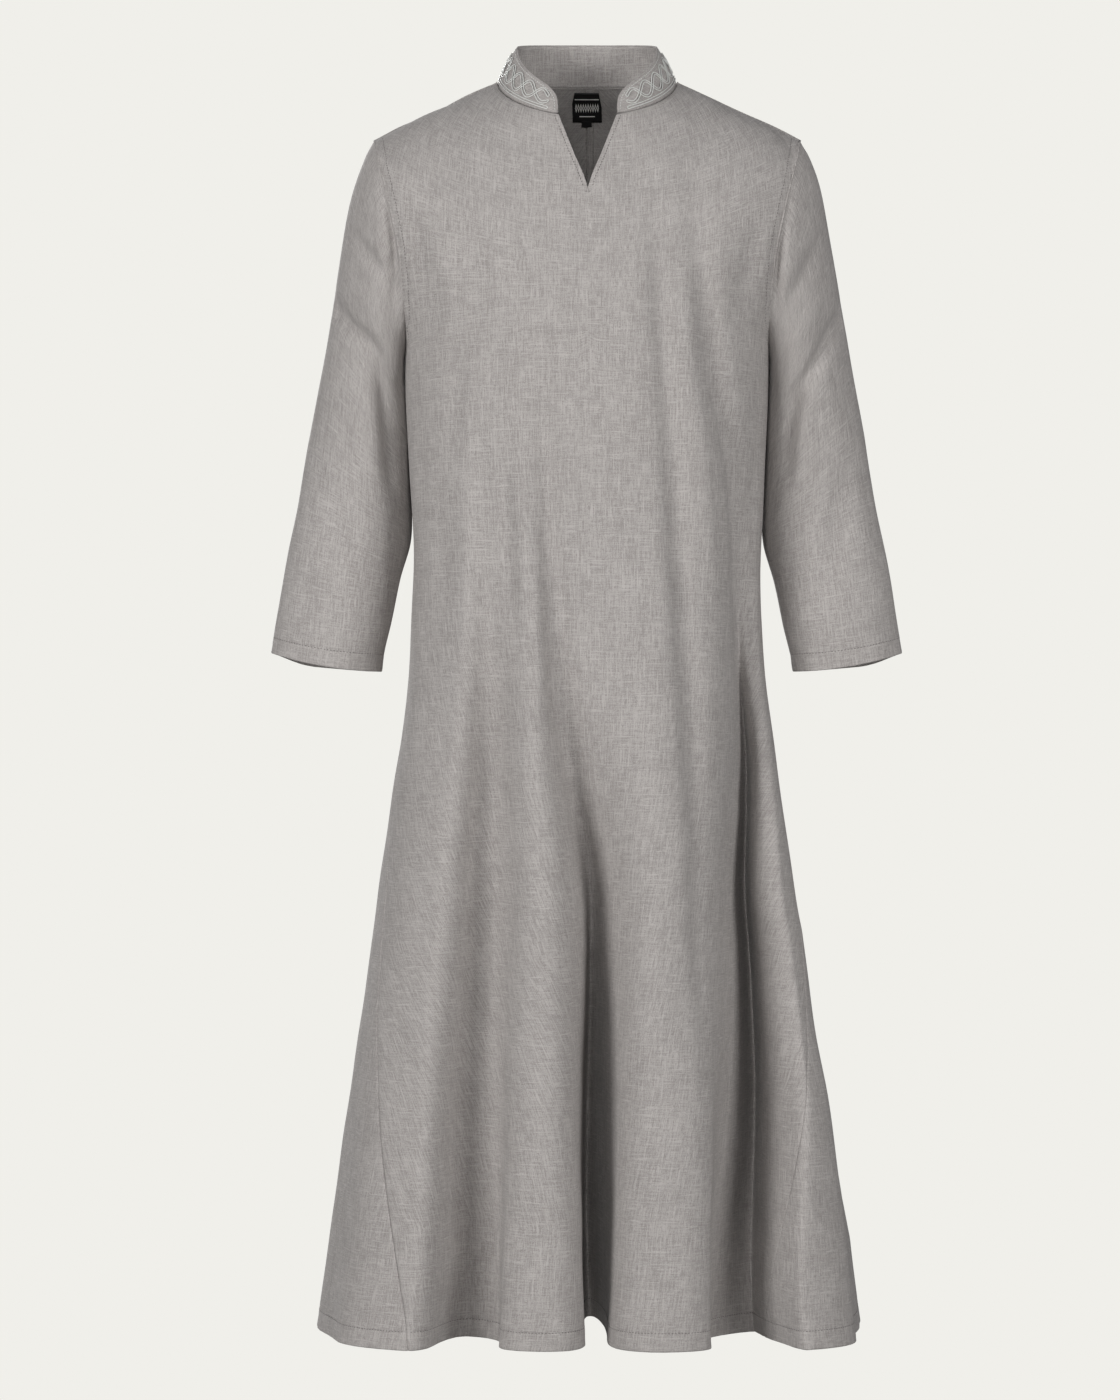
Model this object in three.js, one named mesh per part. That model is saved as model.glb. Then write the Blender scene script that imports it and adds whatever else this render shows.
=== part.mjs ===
// A long linen tunic with a short standing collar, a V slit, set-in sleeves and two side gores,
// worn by nobody but filled out as if it were. Millimetres, +Z up, front towards -Y, wearer's right
// sleeve towards -X. The origin lies on the body's axis at the height where the shoulders meet the neck.
import * as THREE from 'three';

// ---------------------------------------------------------------- driving sizes
const LENGTH = 1400; // shoulder at the neck down to the hem
const CLOTH = 1.5; // wall of one layer
const HEM_CLOTH = 2.2; // wall where the cloth is turned up twice
const HEM_DEPTH = 20;
const SEAM_GAP = 0.3;
const ARMHOLE_GAP = 0.45;
const NECK_HALF_WIDTH = 101;
const SHOULDER_HALF_WIDTH = 240;
const SHOULDER_DROP = 66;
const SHOULDER_FORWARD = 8; // the seam lies this far in front of the ridge at its outer end
const ARMHOLE_BOTTOM = 305;
const SLIT_HALF_WIDTH = 33; // at the neckline, narrowing evenly to the slit's foot
const GORE_TOP = 684; // below the origin
const GORE_CLOSED_LENGTH = 6; // at the gore's point, where its two seams are one
const LABEL = { width: 33, length: 31, thickness: 0.7, gap: 0.6, below: -2 };
const SIZE_TAB = { width: 12, length: 6, thickness: 0.5 };

// ---------------------------------------------------------------- grids
const YOKE_ROWS = 5;
const ARMHOLE_ROWS = 10;
const SKIRT_LEVELS = [365, 440, 520, 605, GORE_TOP, GORE_TOP + GORE_CLOSED_LENGTH,
  755, 830, 905, 980, 1055, 1130, 1205, 1275, 1330, LENGTH - HEM_DEPTH, LENGTH];
const FRONT_COLUMNS = 36;
const BACK_COLUMNS = 16;
const GORE_COLUMNS = 18;
const COLLAR_COLUMNS = 48;
const COLLAR_END_SPREAD = 0.8; // the columns crowd towards the rounded front ends as this nears 1
const COLLAR_ROWS = 3;
const LABEL_COLUMNS = 8;
const LABEL_ROWS = 4;

// ---------------------------------------------------------------- tables
// Body rings: how far each reaches from the axis to the left, right, front and back.
// corner below 1 makes the ring squarer than an ellipse.
const RINGS = table(['drop', 'left', 'right', 'front', 'back', 'corner'], [
  [305, 206, 206, 150, 150, 0.90],
  [420, 201, 202, 148, 147, 0.90],
  [525, 196, 197, 147, 145, 0.92],
  [600, 197, 197, 149, 147, 0.94],
  [695, 204, 204, 151, 150, 0.96],
  [808, 220, 219, 152, 152, 0.98],
  [920, 236, 235, 152, 154, 1.00],
  [1033, 252, 252, 152, 155, 1.00],
  [1146, 268, 273, 151, 155, 1.00],
  [1259, 284, 291, 150, 155, 1.00],
  [1400, 305, 308, 150, 155, 1.00],
]);

// Folds round the skirt, from the left side over the front, the right side and the back.
// high, middle and low are the places round the ring, in degrees from the centre front, at the hip, the
// knee and the hem; top is where the fold begins; out is how far it stands out, or in, at the hem; wall
// is where between this fold and the next the cloth turns through, and roll how far it turns under there.
const FOLDS = table(['high', 'middle', 'low', 'top', 'out', 'growth', 'wall', 'roll'], [
  [-90, -90, -90, 600, 0, 1.0, 0.60, 0.4],
  [-41, -40, -36, 330, 66, 1.3, 0.50, 1.2],
  [-31, -29, -27.5, 400, -38, 1.3, 0.50, 0.9],
  [-16, -12, -9, 430, 44, 1.3, 0.80, 1.3],
  [-6, 3, 1.5, 420, -95, 1.3, 0.18, 1.0],
  [21, 18.5, 16.5, 400, 52, 1.3, 0.34, 1.1],
  [67, 54.5, 40.5, 330, -38, 1.2, 0.40, 2.4],
  [77, 61, 42.5, 690, 76, 1.3, 0.40, 0.5],
  [90, 90, 90, 600, 0, 1.0, 0.50, 0.0],
  [134, 134, 134, 420, 58, 1.3, 0.50, 0.6],
  [148, 148, 147, 400, -44, 1.3, 0.50, 0.8],
  [161, 161, 163, 380, 48, 1.3, 0.55, 1.1],
  [173, 174, 176, 430, -72, 1.4, 0.45, 1.0],
  [188, 189, 191, 400, 46, 1.3, 0.50, 0.9],
  [203, 204, 205, 380, -52, 1.3, 0.50, 0.8],
  [222, 221, 219, 360, 62, 1.3, 0.50, 0.2],
  [270, 270, 270, 600, 0, 1.0, 0.50, 0.0],
]);
const FOLD_HIGH_DROP = 680;
const FOLD_MIDDLE_DROP = 940;
const VALLEY_LIFT = 1 / 700; // a valley's hem rises by this times its depth squared

// The yoke and the chest above the armhole's foot: places of the centre front and centre back.
// level 0 is the neckline, 1 the row through the shoulder point, 2 the foot of the armhole.
const CENTRE_FRONT = table(['level', 'reach', 'drop', 'sag'], [
  [0.0, 98, 49, 1.10],
  [0.5, 112, 91, 1.50],
  [1.0, 127, 134, 1.60],
  [1.5, 145, 215, 1.40],
  [2.0, 150, 305, 1.00],
]);
const CENTRE_BACK = table(['level', 'reach', 'drop', 'sag'], [
  [0.0, 75, -6, 1.00],
  [0.5, 102, 34, 1.50],
  [1.0, 122, 92, 1.70],
  [1.5, 146, 198, 1.50],
  [2.0, 150, 305, 1.00],
]);
const SHOULDER_SEAM = table(['level', 'side', 'forward', 'drop'], [
  [0.0, NECK_HALF_WIDTH, 0, -1],
  [0.2, 126, 1.5, 10],
  [0.5, 165, 4, 29.5],
  [0.8, 207, 6.5, 48.5],
  [1.0, SHOULDER_HALF_WIDTH, SHOULDER_FORWARD, SHOULDER_DROP],
]);
// The armhole from the shoulder point (turn 0) down to the underarm (turn 1).
const ARMHOLE = table(['turn', 'side'], [
  [0.0, SHOULDER_HALF_WIDTH],
  [0.2, 234],
  [0.4, 219],
  [0.55, 208],
  [0.75, 203],
  [1.0, 206],
]);
const ARMHOLE_FRONT = 76;
const ARMHOLE_BACK = 80;

// Sleeve sections, from the armhole to the cuff: the outer and the inner point of each, and its
// reach to the front and back of its own middle.
const SLEEVE = table(['along', 'outer', 'outerDrop', 'inner', 'innerDrop', 'front', 'back', 'middle'], [
  [0, 240, 66, 206, 305, 76, 80, 0],
  [1, 251.5, 85, 209, 316, 77, 80, 4],
  [2, 264, 120, 208, 334, 77, 79, 11],
  [3, 276.5, 183, 205.5, 362, 76, 77, 20],
  [4, 289, 255, 201.8, 400, 73, 73, 28],
  [5, 301.5, 323, 199.5, 440, 70, 69, 31],
  [6, 313.5, 390, 198.3, 480, 66, 65, 31],
  [7, 325, 458, 200, 518, 61, 60, 26],
  [8, 337, 526, 210.5, 560, 56, 55, 18],
  [9, 347.5, 590, 220.5, 610, 51, 50, 11],
  [9.72, 354, 624, 229, 643, 48, 47, 9],
  [10, 357, 641, 232, 662, 47, 46, 8],
]);
const SLEEVE_LEVELS = [0, 0.35, 0.8, 1.4, 2, 2.7, 3.4, 4.2, 5, 6, 7, 8, 9, 9.72, 10];
const ARMHOLE_BLEND = 3; // sections over which the sleeve leaves the armhole's own shape
const CUFF_DIP = 5; // the cuff's front and back hang this far below the line of its two ends
// Where the body bulges past the lower front of the armhole the sleeve starts this much further out.
const FOOT_EASE = { out: 1.8, from: 0.28, to: 0.54 };

// The collar's slanting height and how far its top leans in, by degrees from the centre front.
const COLLAR = table(['angle', 'height', 'lean'], [
  [19, 3, 1],
  [20.2, 13, 4],
  [22, 20.5, 7],
  [25, 26, 9],
  [30, 31, 11],
  [40, 36, 14],
  [52, 39.5, 16],
  [68, 43, 19],
  [90, 46, 22],
  [130, 48, 18],
  [180, 48, 13],
]);
const COLLAR_FULLNESS = 1.5; // how far the band bows out between its edges

// ---------------------------------------------------------------- small helpers
function table(columns, rows) {
  return rows.map((row) => Object.fromEntries(columns.map((column, i) => [column, row[i]])));
}

function lerp(from, to, share) {
  return from + (to - from) * share;
}

function clamp(value, low, high) {
  return Math.min(Math.max(value, low), high);
}

// A value of a table at a key, through a smooth curve that passes every row.
function along(rows, key, value, column) {
  const last = rows.length - 1;
  let i = 0;
  while (i < last - 1 && rows[i + 1][key] < value) i += 1;
  const slope = (j) => {
    const from = rows[Math.max(j - 1, 0)];
    const to = rows[Math.min(j + 1, last)];
    return (to[column] - from[column]) / (to[key] - from[key]);
  };
  const span = rows[i + 1][key] - rows[i][key];
  const t = (value - rows[i][key]) / span;
  const t2 = t * t;
  const t3 = t2 * t;
  return (2 * t3 - 3 * t2 + 1) * rows[i][column] + (t3 - 2 * t2 + t) * span * slope(i)
    + (3 * t2 - 2 * t3) * rows[i + 1][column] + (t3 - t2) * span * slope(i + 1);
}

// Where a test that holds at the start of a range stops holding.
function bisect(start, end, holds) {
  let low = start;
  let high = end;
  for (let i = 0; i < 50; i += 1) {
    const middle = (low + high) / 2;
    if (holds(middle)) low = middle;
    else high = middle;
  }
  return (low + high) / 2;
}

function signedPower(value, power) {
  return Math.sign(value) * Math.abs(value) ** power;
}

// ---------------------------------------------------------------- the skirt and body rings
function baseRing(degrees, drop) {
  const turn = THREE.MathUtils.degToRad(degrees);
  const corner = along(RINGS, 'drop', drop, 'corner');
  const side = along(RINGS, 'drop', drop, Math.sin(turn) < 0 ? 'left' : 'right');
  const depth = along(RINGS, 'drop', drop, Math.cos(turn) < 0 ? 'back' : 'front');
  return new THREE.Vector3(
    side * signedPower(Math.sin(turn), corner),
    -depth * signedPower(Math.cos(turn), corner),
    -drop,
  );
}

function baseNormal(degrees, drop) {
  const step = 0.5;
  const before = baseRing(degrees - step, drop);
  const after = baseRing(degrees + step, drop);
  return new THREE.Vector3(after.y - before.y, before.x - after.x, 0).normalize();
}

function ease(anyShare) {
  const share = clamp(anyShare, 0, 1);
  return share * share * (3 - 2 * share);
}

function foldAngle(fold, drop) {
  const upper = ease((drop - FOLD_HIGH_DROP) / (FOLD_MIDDLE_DROP - FOLD_HIGH_DROP));
  const lower = ease((drop - FOLD_MIDDLE_DROP) / (LENGTH - FOLD_MIDDLE_DROP));
  return fold.high + (fold.middle - fold.high) * upper + (fold.low - fold.middle) * lower;
}

function foldGrowth(fold, drop) {
  return clamp((drop - fold.top) / (LENGTH - fold.top), 0, 1) ** fold.growth;
}

// Each fold's place on the cloth, 0 to 1 round the whole ring, by the cloth between folds at the hem.
const FOLD_PLACES = foldPlaces();

function foldPlaces() {
  const crests = FOLDS.map((fold) => {
    return baseRing(fold.low, LENGTH).addScaledVector(baseNormal(fold.low, LENGTH), fold.out);
  });
  const runs = [0];
  for (let i = 1; i < crests.length; i += 1) {
    runs.push(runs[i - 1] + crests[i].distanceTo(crests[i - 1]));
  }
  return runs.map((run) => run / runs[runs.length - 1]);
}

function foldBefore(place) {
  let i = 0;
  while (i < FOLD_PLACES.length - 2 && FOLD_PLACES[i + 1] <= place) i += 1;
  return i;
}

// The place round the ring of a spot on the cloth, and how far it stands out there.
function foldShape(anyPlace, drop) {
  const place = anyPlace - Math.floor(anyPlace);
  const i = foldBefore(place);
  const here = FOLDS[i];
  const next = FOLDS[i + 1];
  const t = (place - FOLD_PLACES[i]) / (FOLD_PLACES[i + 1] - FOLD_PLACES[i]);
  const grown = Math.max(foldGrowth(here, drop), foldGrowth(next, drop)) ** 2;
  const biased = t + grown * (4 * here.wall - 2) * t * (1 - t);
  const rolled = grown * here.roll * Math.sin(2 * Math.PI * t) / (2 * Math.PI);
  const swing = (1 - Math.cos(Math.PI * t)) / 2;
  return {
    angle: lerp(foldAngle(here, drop), foldAngle(next, drop), biased + rolled),
    out: lerp(here.out * foldGrowth(here, drop), next.out * foldGrowth(next, drop), swing),
  };
}

function ringPoint(place, drop) {
  const shape = foldShape(place, drop);
  const point = baseRing(shape.angle, drop);
  point.addScaledVector(baseNormal(shape.angle, drop), shape.out);
  point.z += shape.out < 0 ? shape.out ** 2 * VALLEY_LIFT : 0;
  return point;
}

// ---------------------------------------------------------------- the yoke and chest
function shoulderPoint(level) {
  return new THREE.Vector3(
    along(SHOULDER_SEAM, 'level', level, 'side'),
    -along(SHOULDER_SEAM, 'level', level, 'forward'),
    -along(SHOULDER_SEAM, 'level', level, 'drop'),
  );
}

// turn runs from the shoulder point (0) to the underarm (1); face is -1 in front and 1 behind.
function armholePoint(turn, face) {
  const angle = Math.PI * turn;
  const reach = face < 0 ? ARMHOLE_FRONT : ARMHOLE_BACK;
  const forward = SHOULDER_FORWARD * (1 + Math.cos(angle)) / 2;
  return new THREE.Vector3(
    along(ARMHOLE, 'turn', turn, 'side'),
    face * reach * Math.sin(angle) - forward,
    -lerp(SHOULDER_DROP, ARMHOLE_BOTTOM, (1 - Math.cos(angle)) / 2),
  );
}

// A row follows the part of a ring that lies between its two edges. face is -1 on the front and 1
// on the back.
function upperPoint(degrees, level, face) {
  const turn = THREE.MathUtils.degToRad(degrees);
  const centre = face < 0 ? CENTRE_FRONT : CENTRE_BACK;
  const edge = level < 1 ? shoulderPoint(level) : armholePoint(level - 1, face);
  const corner = lerp(1, RINGS[0].corner, clamp(level - 1, 0, 1));
  const reach = along(centre, 'level', level, 'reach');
  const edgeTurn = Math.acos(signedPower(face * edge.y / reach, 1 / corner));
  const ringTurn = Math.asin(Math.sin(turn)) * edgeTurn / (Math.PI / 2);
  const share = Math.abs(Math.cos(turn)) ** along(centre, 'level', level, 'sag');
  return new THREE.Vector3(
    edge.x * signedPower(Math.sin(ringTurn), corner) / Math.sin(edgeTurn) ** corner,
    face * reach * signedPower(Math.cos(ringTurn), corner),
    lerp(edge.z, -along(centre, 'level', level, 'drop'), share),
  );
}

// ---------------------------------------------------------------- the whole body surface
// level 0 to 2 is the yoke and chest, 2 to 3 the rings from the underarm to the hem.
function levelOfDrop(drop) {
  return 2 + (drop - ARMHOLE_BOTTOM) / (LENGTH - ARMHOLE_BOTTOM);
}

function dropOfLevel(level) {
  return lerp(ARMHOLE_BOTTOM, LENGTH, level - 2);
}

// The front is cut in two halves, -1 and 1, whose yoke stops at the slit's edge.
const FRONT_HALVES = [{ face: -1, half: -1 }, { face: -1, half: 1 }];
const UNSLIT = { face: 1, half: 0 }; // the backs and the gores

function slitAngle(level) {
  if (level >= 1) return 0;
  return THREE.MathUtils.radToDeg(Math.asin(SLIT_HALF_WIDTH * (1 - level) / shoulderPoint(level).x));
}

function bodyPoint(place, level, part) {
  if (level >= 2) return ringPoint(place, dropOfLevel(level));
  let degrees = foldShape(place, ARMHOLE_BOTTOM).angle;
  if (part.half) {
    const open = slitAngle(level);
    degrees = part.half * open + degrees * (90 - open) / 90;
  }
  return upperPoint(degrees, level, part.face);
}

function bodyNormal(place, level, part) {
  const acrossStep = 2e-4;
  const downStep = 2e-3;
  const low = Math.max(level - downStep, level < 2 ? 0 : 2);
  const high = level < 2 ? Math.min(level + downStep, 2 - 1e-6) : level + downStep;
  const before = bodyPoint(place - acrossStep, level, part);
  const across = bodyPoint(place + acrossStep, level, part).sub(before);
  const down = bodyPoint(place, high, part).sub(bodyPoint(place, low, part));
  return down.cross(across).normalize();
}

const SIDE_LEFT = 0;
const SIDE_LEFT_AGAIN = 1;
const SIDE_RIGHT = FOLD_PLACES[8];
const FRONT_MIDDLE = placeOfAngle(0);
const BACK_MIDDLE = placeOfAngle(180);

// The place on the cloth whose angle above the folds is the one given.
function placeOfAngle(degrees) {
  return bisect(0, 1, (place) => foldShape(place, ARMHOLE_BOTTOM).angle < degrees);
}

// Gore seams: from the side at the gore's point to these places at the hem.
const GORE_SEAMS = {
  leftFront: lerp(FOLD_PLACES[1], FOLD_PLACES[2], 0.06),
  rightFront: lerp(FOLD_PLACES[6], FOLD_PLACES[7], 0.25),
  rightBack: lerp(FOLD_PLACES[9], FOLD_PLACES[10], 0.3),
  leftBack: lerp(FOLD_PLACES[14], FOLD_PLACES[15], 0.8),
};
const GORE_SPREAD = 0.7; // below 1 the gore widens fastest at its point

function gorePlace(side, atHem, level) {
  const drop = level < 2 ? 0 : dropOfLevel(level);
  const share = clamp((drop - GORE_TOP) / (LENGTH - GORE_TOP), 0, 1);
  return lerp(side, atHem, share ** GORE_SPREAD);
}

// A place moved off a seam by half the seam's gap, towards the way given.
function offSeam(place, level, way, part) {
  const step = 1e-4;
  const run = bodyPoint(place + way * step, level, part).distanceTo(bodyPoint(place, level, part));
  return place + way * step * (SEAM_GAP / 2) / run;
}

// ---------------------------------------------------------------- walls from two skins
// Joins grids of outer and inner points into one closed wall. Outer points that coincide are one
// point, so a tube closes on itself and the halves of the front meet below the slit.
function wall(grids) {
  const keys = new Map();
  const skin = [];
  const lining = [];
  const faces = [];
  for (const { outer, inner } of grids) {
    const index = outer.map((row, r) => row.map((point, c) => {
      const key = [point.x, point.y, point.z].map((value) => value.toFixed(3)).join(' ');
      if (!keys.has(key)) {
        keys.set(key, skin.length);
        skin.push(point);
        lining.push(inner[r][c]);
      }
      return keys.get(key);
    }));
    for (let r = 0; r + 1 < index.length; r += 1) {
      for (let c = 0; c + 1 < index[r].length; c += 1) {
        const [a, b, d, e] = [index[r][c], index[r + 1][c], index[r + 1][c + 1], index[r][c + 1]];
        const isFalling = skin[a].distanceTo(skin[d]) < skin[b].distanceTo(skin[e]);
        faces.push(...(isFalling ? [[a, b, d], [a, d, e]] : [[a, b, e], [b, d, e]]));
      }
    }
  }
  const edges = new Set();
  for (const [a, b, c] of faces) {
    for (const [from, to] of [[a, b], [b, c], [c, a]]) edges.add(`${from} ${to}`);
  }
  const count = skin.length;
  const triangles = [];
  for (const [a, b, c] of faces) {
    triangles.push(a, b, c);
    triangles.push(count + a, count + c, count + b);
    for (const [from, to] of [[a, b], [b, c], [c, a]]) {
      if (edges.has(`${to} ${from}`)) continue;
      // Both walls at a seam are split from the upper outer corner, so that a twisted seam fits.
      if (skin[to].z > skin[from].z) {
        triangles.push(to, from, count + from);
        triangles.push(to, count + from, count + to);
      } else {
        triangles.push(to, from, count + to);
        triangles.push(from, count + from, count + to);
      }
    }
  }
  const geometry = new THREE.BufferGeometry();
  const points = [...skin, ...lining].flatMap((point) => point.toArray());
  geometry.setAttribute('position', new THREE.Float32BufferAttribute(points, 3));
  geometry.setIndex(triangles);
  geometry.computeVertexNormals();
  return geometry;
}

const INSIDE = { seam: false, shoulder: false }; // neither edge of a panel

function thicknessAt(level) {
  return level > levelOfDrop(LENGTH - HEM_DEPTH) - 1e-6 ? HEM_CLOTH : CLOTH;
}

// One body panel. edges(level, part) gives the places of each part's left and right edge.
function bodyPanel(levels, columns, edges, parts) {
  return wall(parts.map((part) => {
    const rows = levels.map((level) => bodyRow(level, columns, edges(level, part), part));
    return { outer: rows.map((row) => row.skin), inner: rows.map((row) => row.lining) };
  }));
}

function bodyRow(level, columns, [from, to], part) {
  const skin = [];
  const lining = [];
  for (let c = 0; c <= columns; c += 1) {
    const edge = c === 0 ? from : (c === columns ? to : INSIDE);
    let place = lerp(from.place, to.place, c / columns);
    if (edge.seam) place = offSeam(place, level, c === 0 ? 1 : -1, part);
    const point = bodyPoint(place, level, part);
    const normal = bodyNormal(place, level, part);
    if (edge.shoulder) normal.setY(0).normalize(); // shared by the front and back, so the seam fits
    skin.push(point);
    lining.push(point.clone().addScaledVector(normal, -thicknessAt(level)));
  }
  return { skin, lining };
}

function upperLevels() {
  const yoke = Array.from({ length: YOKE_ROWS }, (_, i) => i / YOKE_ROWS);
  const chest = Array.from({ length: ARMHOLE_ROWS }, (_, i) => 1 + i / ARMHOLE_ROWS);
  return [...yoke, ...chest, 2];
}

function skirtLevels(fromDrop) {
  return SKIRT_LEVELS.filter((drop) => drop >= fromDrop).map(levelOfDrop);
}

// Above the armhole's foot an edge lies on the armhole, which the sleeve keeps clear of.
function edgeAt(side, atHem, level) {
  const onArmhole = level > 1 && level < 2;
  return { place: gorePlace(side, atHem, level), seam: !onArmhole, shoulder: level <= 1 };
}

function frontPanel() {
  const levels = [...upperLevels(), ...skirtLevels(0)];
  const middle = { place: FRONT_MIDDLE, seam: false };
  const edges = (level, part) => (part.half < 0
    ? [edgeAt(SIDE_LEFT, GORE_SEAMS.leftFront, level), middle]
    : [middle, edgeAt(SIDE_RIGHT, GORE_SEAMS.rightFront, level)]);
  return bodyPanel(levels, FRONT_COLUMNS / 2, edges, FRONT_HALVES);
}

function backPanel(isLeft) {
  const levels = [...upperLevels(), ...skirtLevels(0)];
  const middle = { place: BACK_MIDDLE, seam: true };
  const edges = (level) => (isLeft
    ? [middle, edgeAt(SIDE_LEFT_AGAIN, GORE_SEAMS.leftBack, level)]
    : [edgeAt(SIDE_RIGHT, GORE_SEAMS.rightBack, level), middle]);
  return bodyPanel(levels, BACK_COLUMNS, edges, [UNSLIT]);
}

function gorePanel(isLeft) {
  const side = isLeft ? SIDE_LEFT_AGAIN : SIDE_RIGHT;
  const [from, to] = isLeft
    ? [GORE_SEAMS.leftBack, GORE_SEAMS.leftFront + 1]
    : [GORE_SEAMS.rightFront, GORE_SEAMS.rightBack];
  const edges = (level) => [edgeAt(side, from, level), edgeAt(side, to, level)];
  return bodyPanel(skirtLevels(GORE_TOP + 1), GORE_COLUMNS, edges, [UNSLIT]);
}

// ---------------------------------------------------------------- sleeves
// turn runs round the sleeve: 0 outer, 0.25 front, 0.5 inner, 0.75 back. Made for the right arm's
// side, +X, and mirrored for the other.
function sleevePoint(turn, section) {
  const angle = 2 * Math.PI * turn;
  const outer = new THREE.Vector3(sleeveSize(section, 'outer'), 0, -sleeveSize(section, 'outerDrop'));
  const inner = new THREE.Vector3(sleeveSize(section, 'inner'), 0, -sleeveSize(section, 'innerDrop'));
  const reach = Math.sin(angle) > 0 ? -sleeveSize(section, 'front') : -sleeveSize(section, 'back');
  const point = outer.lerp(inner, (1 - Math.cos(angle)) / 2);
  point.y = sleeveSize(section, 'middle') + reach * Math.sin(angle);
  const fade = ease(1 - section / ARMHOLE_BLEND);
  if (fade > 0) {
    const hole = turn <= 0.5 ? armholePoint(2 * turn, -1) : armholePoint(2 - 2 * turn, 1);
    point.addScaledVector(hole.sub(sleeveStart(angle)), fade);
  }
  const foot = clamp((turn - FOOT_EASE.from) / (FOOT_EASE.to - FOOT_EASE.from), 0, 1);
  const gap = ARMHOLE_GAP + FOOT_EASE.out * Math.sin(Math.PI * foot);
  point.x += gap * clamp(1 - section, 0, 1);
  point.z -= CUFF_DIP * Math.sin(angle) ** 2 * (section / SLEEVE[SLEEVE.length - 1].along) ** 4;
  return point;
}

function sleeveSize(section, column) {
  return along(SLEEVE, 'along', section, column);
}

function sleeveStart(angle) {
  const first = SLEEVE[0];
  const share = (1 - Math.cos(angle)) / 2;
  const reach = Math.sin(angle) > 0 ? -first.front : -first.back;
  return new THREE.Vector3(
    lerp(first.outer, first.inner, share),
    first.middle + reach * Math.sin(angle),
    -lerp(first.outerDrop, first.innerDrop, share),
  );
}

function sleeveNormal(turn, section) {
  if (section === 0) {
    const middle = new THREE.Vector3(0, 0, -(SHOULDER_DROP + ARMHOLE_BOTTOM) / 2);
    return sleevePoint(turn, 0).sub(middle).setX(0).normalize();
  }
  const turnStep = 1e-3;
  const sectionStep = 1e-2;
  const last = SLEEVE[SLEEVE.length - 1].along;
  const round = sleevePoint(turn + turnStep, section).sub(sleevePoint(turn - turnStep, section));
  const end = Math.min(section + sectionStep, last);
  const down = sleevePoint(turn, end).sub(sleevePoint(turn, section - sectionStep));
  return round.cross(down).normalize();
}

function sleeveTube(isLeft) {
  const columns = 2 * ARMHOLE_ROWS;
  const hemStart = SLEEVE[SLEEVE.length - 2].along;
  const outer = [];
  const inner = [];
  for (const section of SLEEVE_LEVELS) {
    const skin = [];
    const lining = [];
    for (let c = 0; c <= columns; c += 1) {
      const turn = (c % columns) / columns;
      const point = sleevePoint(turn, section);
      const thickness = section >= hemStart ? HEM_CLOTH : CLOTH;
      const under = point.clone().addScaledVector(sleeveNormal(turn, section), -thickness);
      if (isLeft) {
        point.x *= -1;
        under.x *= -1;
      }
      skin.push(point);
      lining.push(under);
    }
    outer.push(isLeft ? skin : skin.reverse());
    inner.push(isLeft ? lining : lining.reverse());
  }
  return wall([{ outer, inner }]);
}

// ---------------------------------------------------------------- collar
// height runs from the neck seam (0) to the top edge (1).
function collarPoint(degrees, height) {
  const face = Math.abs(degrees) > 90 ? 1 : -1;
  const base = upperPoint(degrees, 0, face);
  const size = (column) => along(COLLAR, 'angle', Math.abs(degrees), column);
  const inward = new THREE.Vector3(-base.x, -base.y, 0).normalize();
  const lean = size('lean') * height - COLLAR_FULLNESS * Math.sin(Math.PI * height);
  const rise = Math.sqrt(size('height') ** 2 - size('lean') ** 2);
  base.addScaledVector(inward, lean);
  base.z += SEAM_GAP + rise * height;
  return base;
}

function collarNormal(degrees, height) {
  const step = 0.01;
  const low = clamp(height - step, 0, 1);
  const high = clamp(height + step, 0, 1);
  const round = collarPoint(degrees + 1, height).sub(collarPoint(degrees - 1, height));
  const up = collarPoint(degrees, high).sub(collarPoint(degrees, low));
  return round.cross(up).normalize();
}

function collarShare(even) {
  return even - COLLAR_END_SPREAD * Math.sin(2 * Math.PI * even) / (2 * Math.PI);
}

function collarBand() {
  const outer = [];
  const inner = [];
  for (let r = 0; r <= COLLAR_ROWS; r += 1) {
    const skin = [];
    const lining = [];
    for (let c = 0; c <= COLLAR_COLUMNS; c += 1) {
      const turned = lerp(slitAngle(0), 360 - slitAngle(0), collarShare(c / COLLAR_COLUMNS));
      const degrees = turned > 180 ? turned - 360 : turned;
      const point = collarPoint(degrees, 1 - r / COLLAR_ROWS);
      const normal = collarNormal(degrees, 1 - r / COLLAR_ROWS);
      skin.push(point);
      lining.push(point.clone().addScaledVector(normal, -CLOTH));
    }
    outer.push(skin);
    inner.push(lining);
  }
  return wall([{ outer, inner }]);
}

// ---------------------------------------------------------------- label inside the back
// A small plate that follows the inside of the back, whose middle seam it straddles. Its width is
// given at the top, and it starts and ends at drops below the origin.
function labelPlate(width, topDrop, bottomDrop, gap, thickness) {
  const skin = [];
  const lining = [];
  for (let r = 0; r <= LABEL_ROWS; r += 1) {
    const drop = lerp(topDrop, bottomDrop, r / LABEL_ROWS);
    const level = levelOfBackDrop(drop);
    const face = [];
    const back = [];
    for (let c = 0; c <= LABEL_COLUMNS; c += 1) {
      const side = lerp(width / 2, -width / 2, c / LABEL_COLUMNS);
      const place = placeOfBackSide(side, level);
      const point = bodyPoint(place, level, UNSLIT);
      const normal = bodyNormal(place, level, UNSLIT);
      back.push(point.clone().addScaledVector(normal, -CLOTH - gap));
      face.push(point.clone().addScaledVector(normal, -CLOTH - gap - thickness));
    }
    skin.push(back);
    lining.push(face);
  }
  return wall([{ outer: skin, inner: lining }]);
}

function levelOfBackDrop(drop) {
  return bisect(0, 1, (level) => -along(CENTRE_BACK, 'level', level, 'drop') > -drop);
}

function placeOfBackSide(side, level) {
  return bisect(SIDE_RIGHT, 1, (place) => bodyPoint(place, level, UNSLIT).x > side);
}

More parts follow.
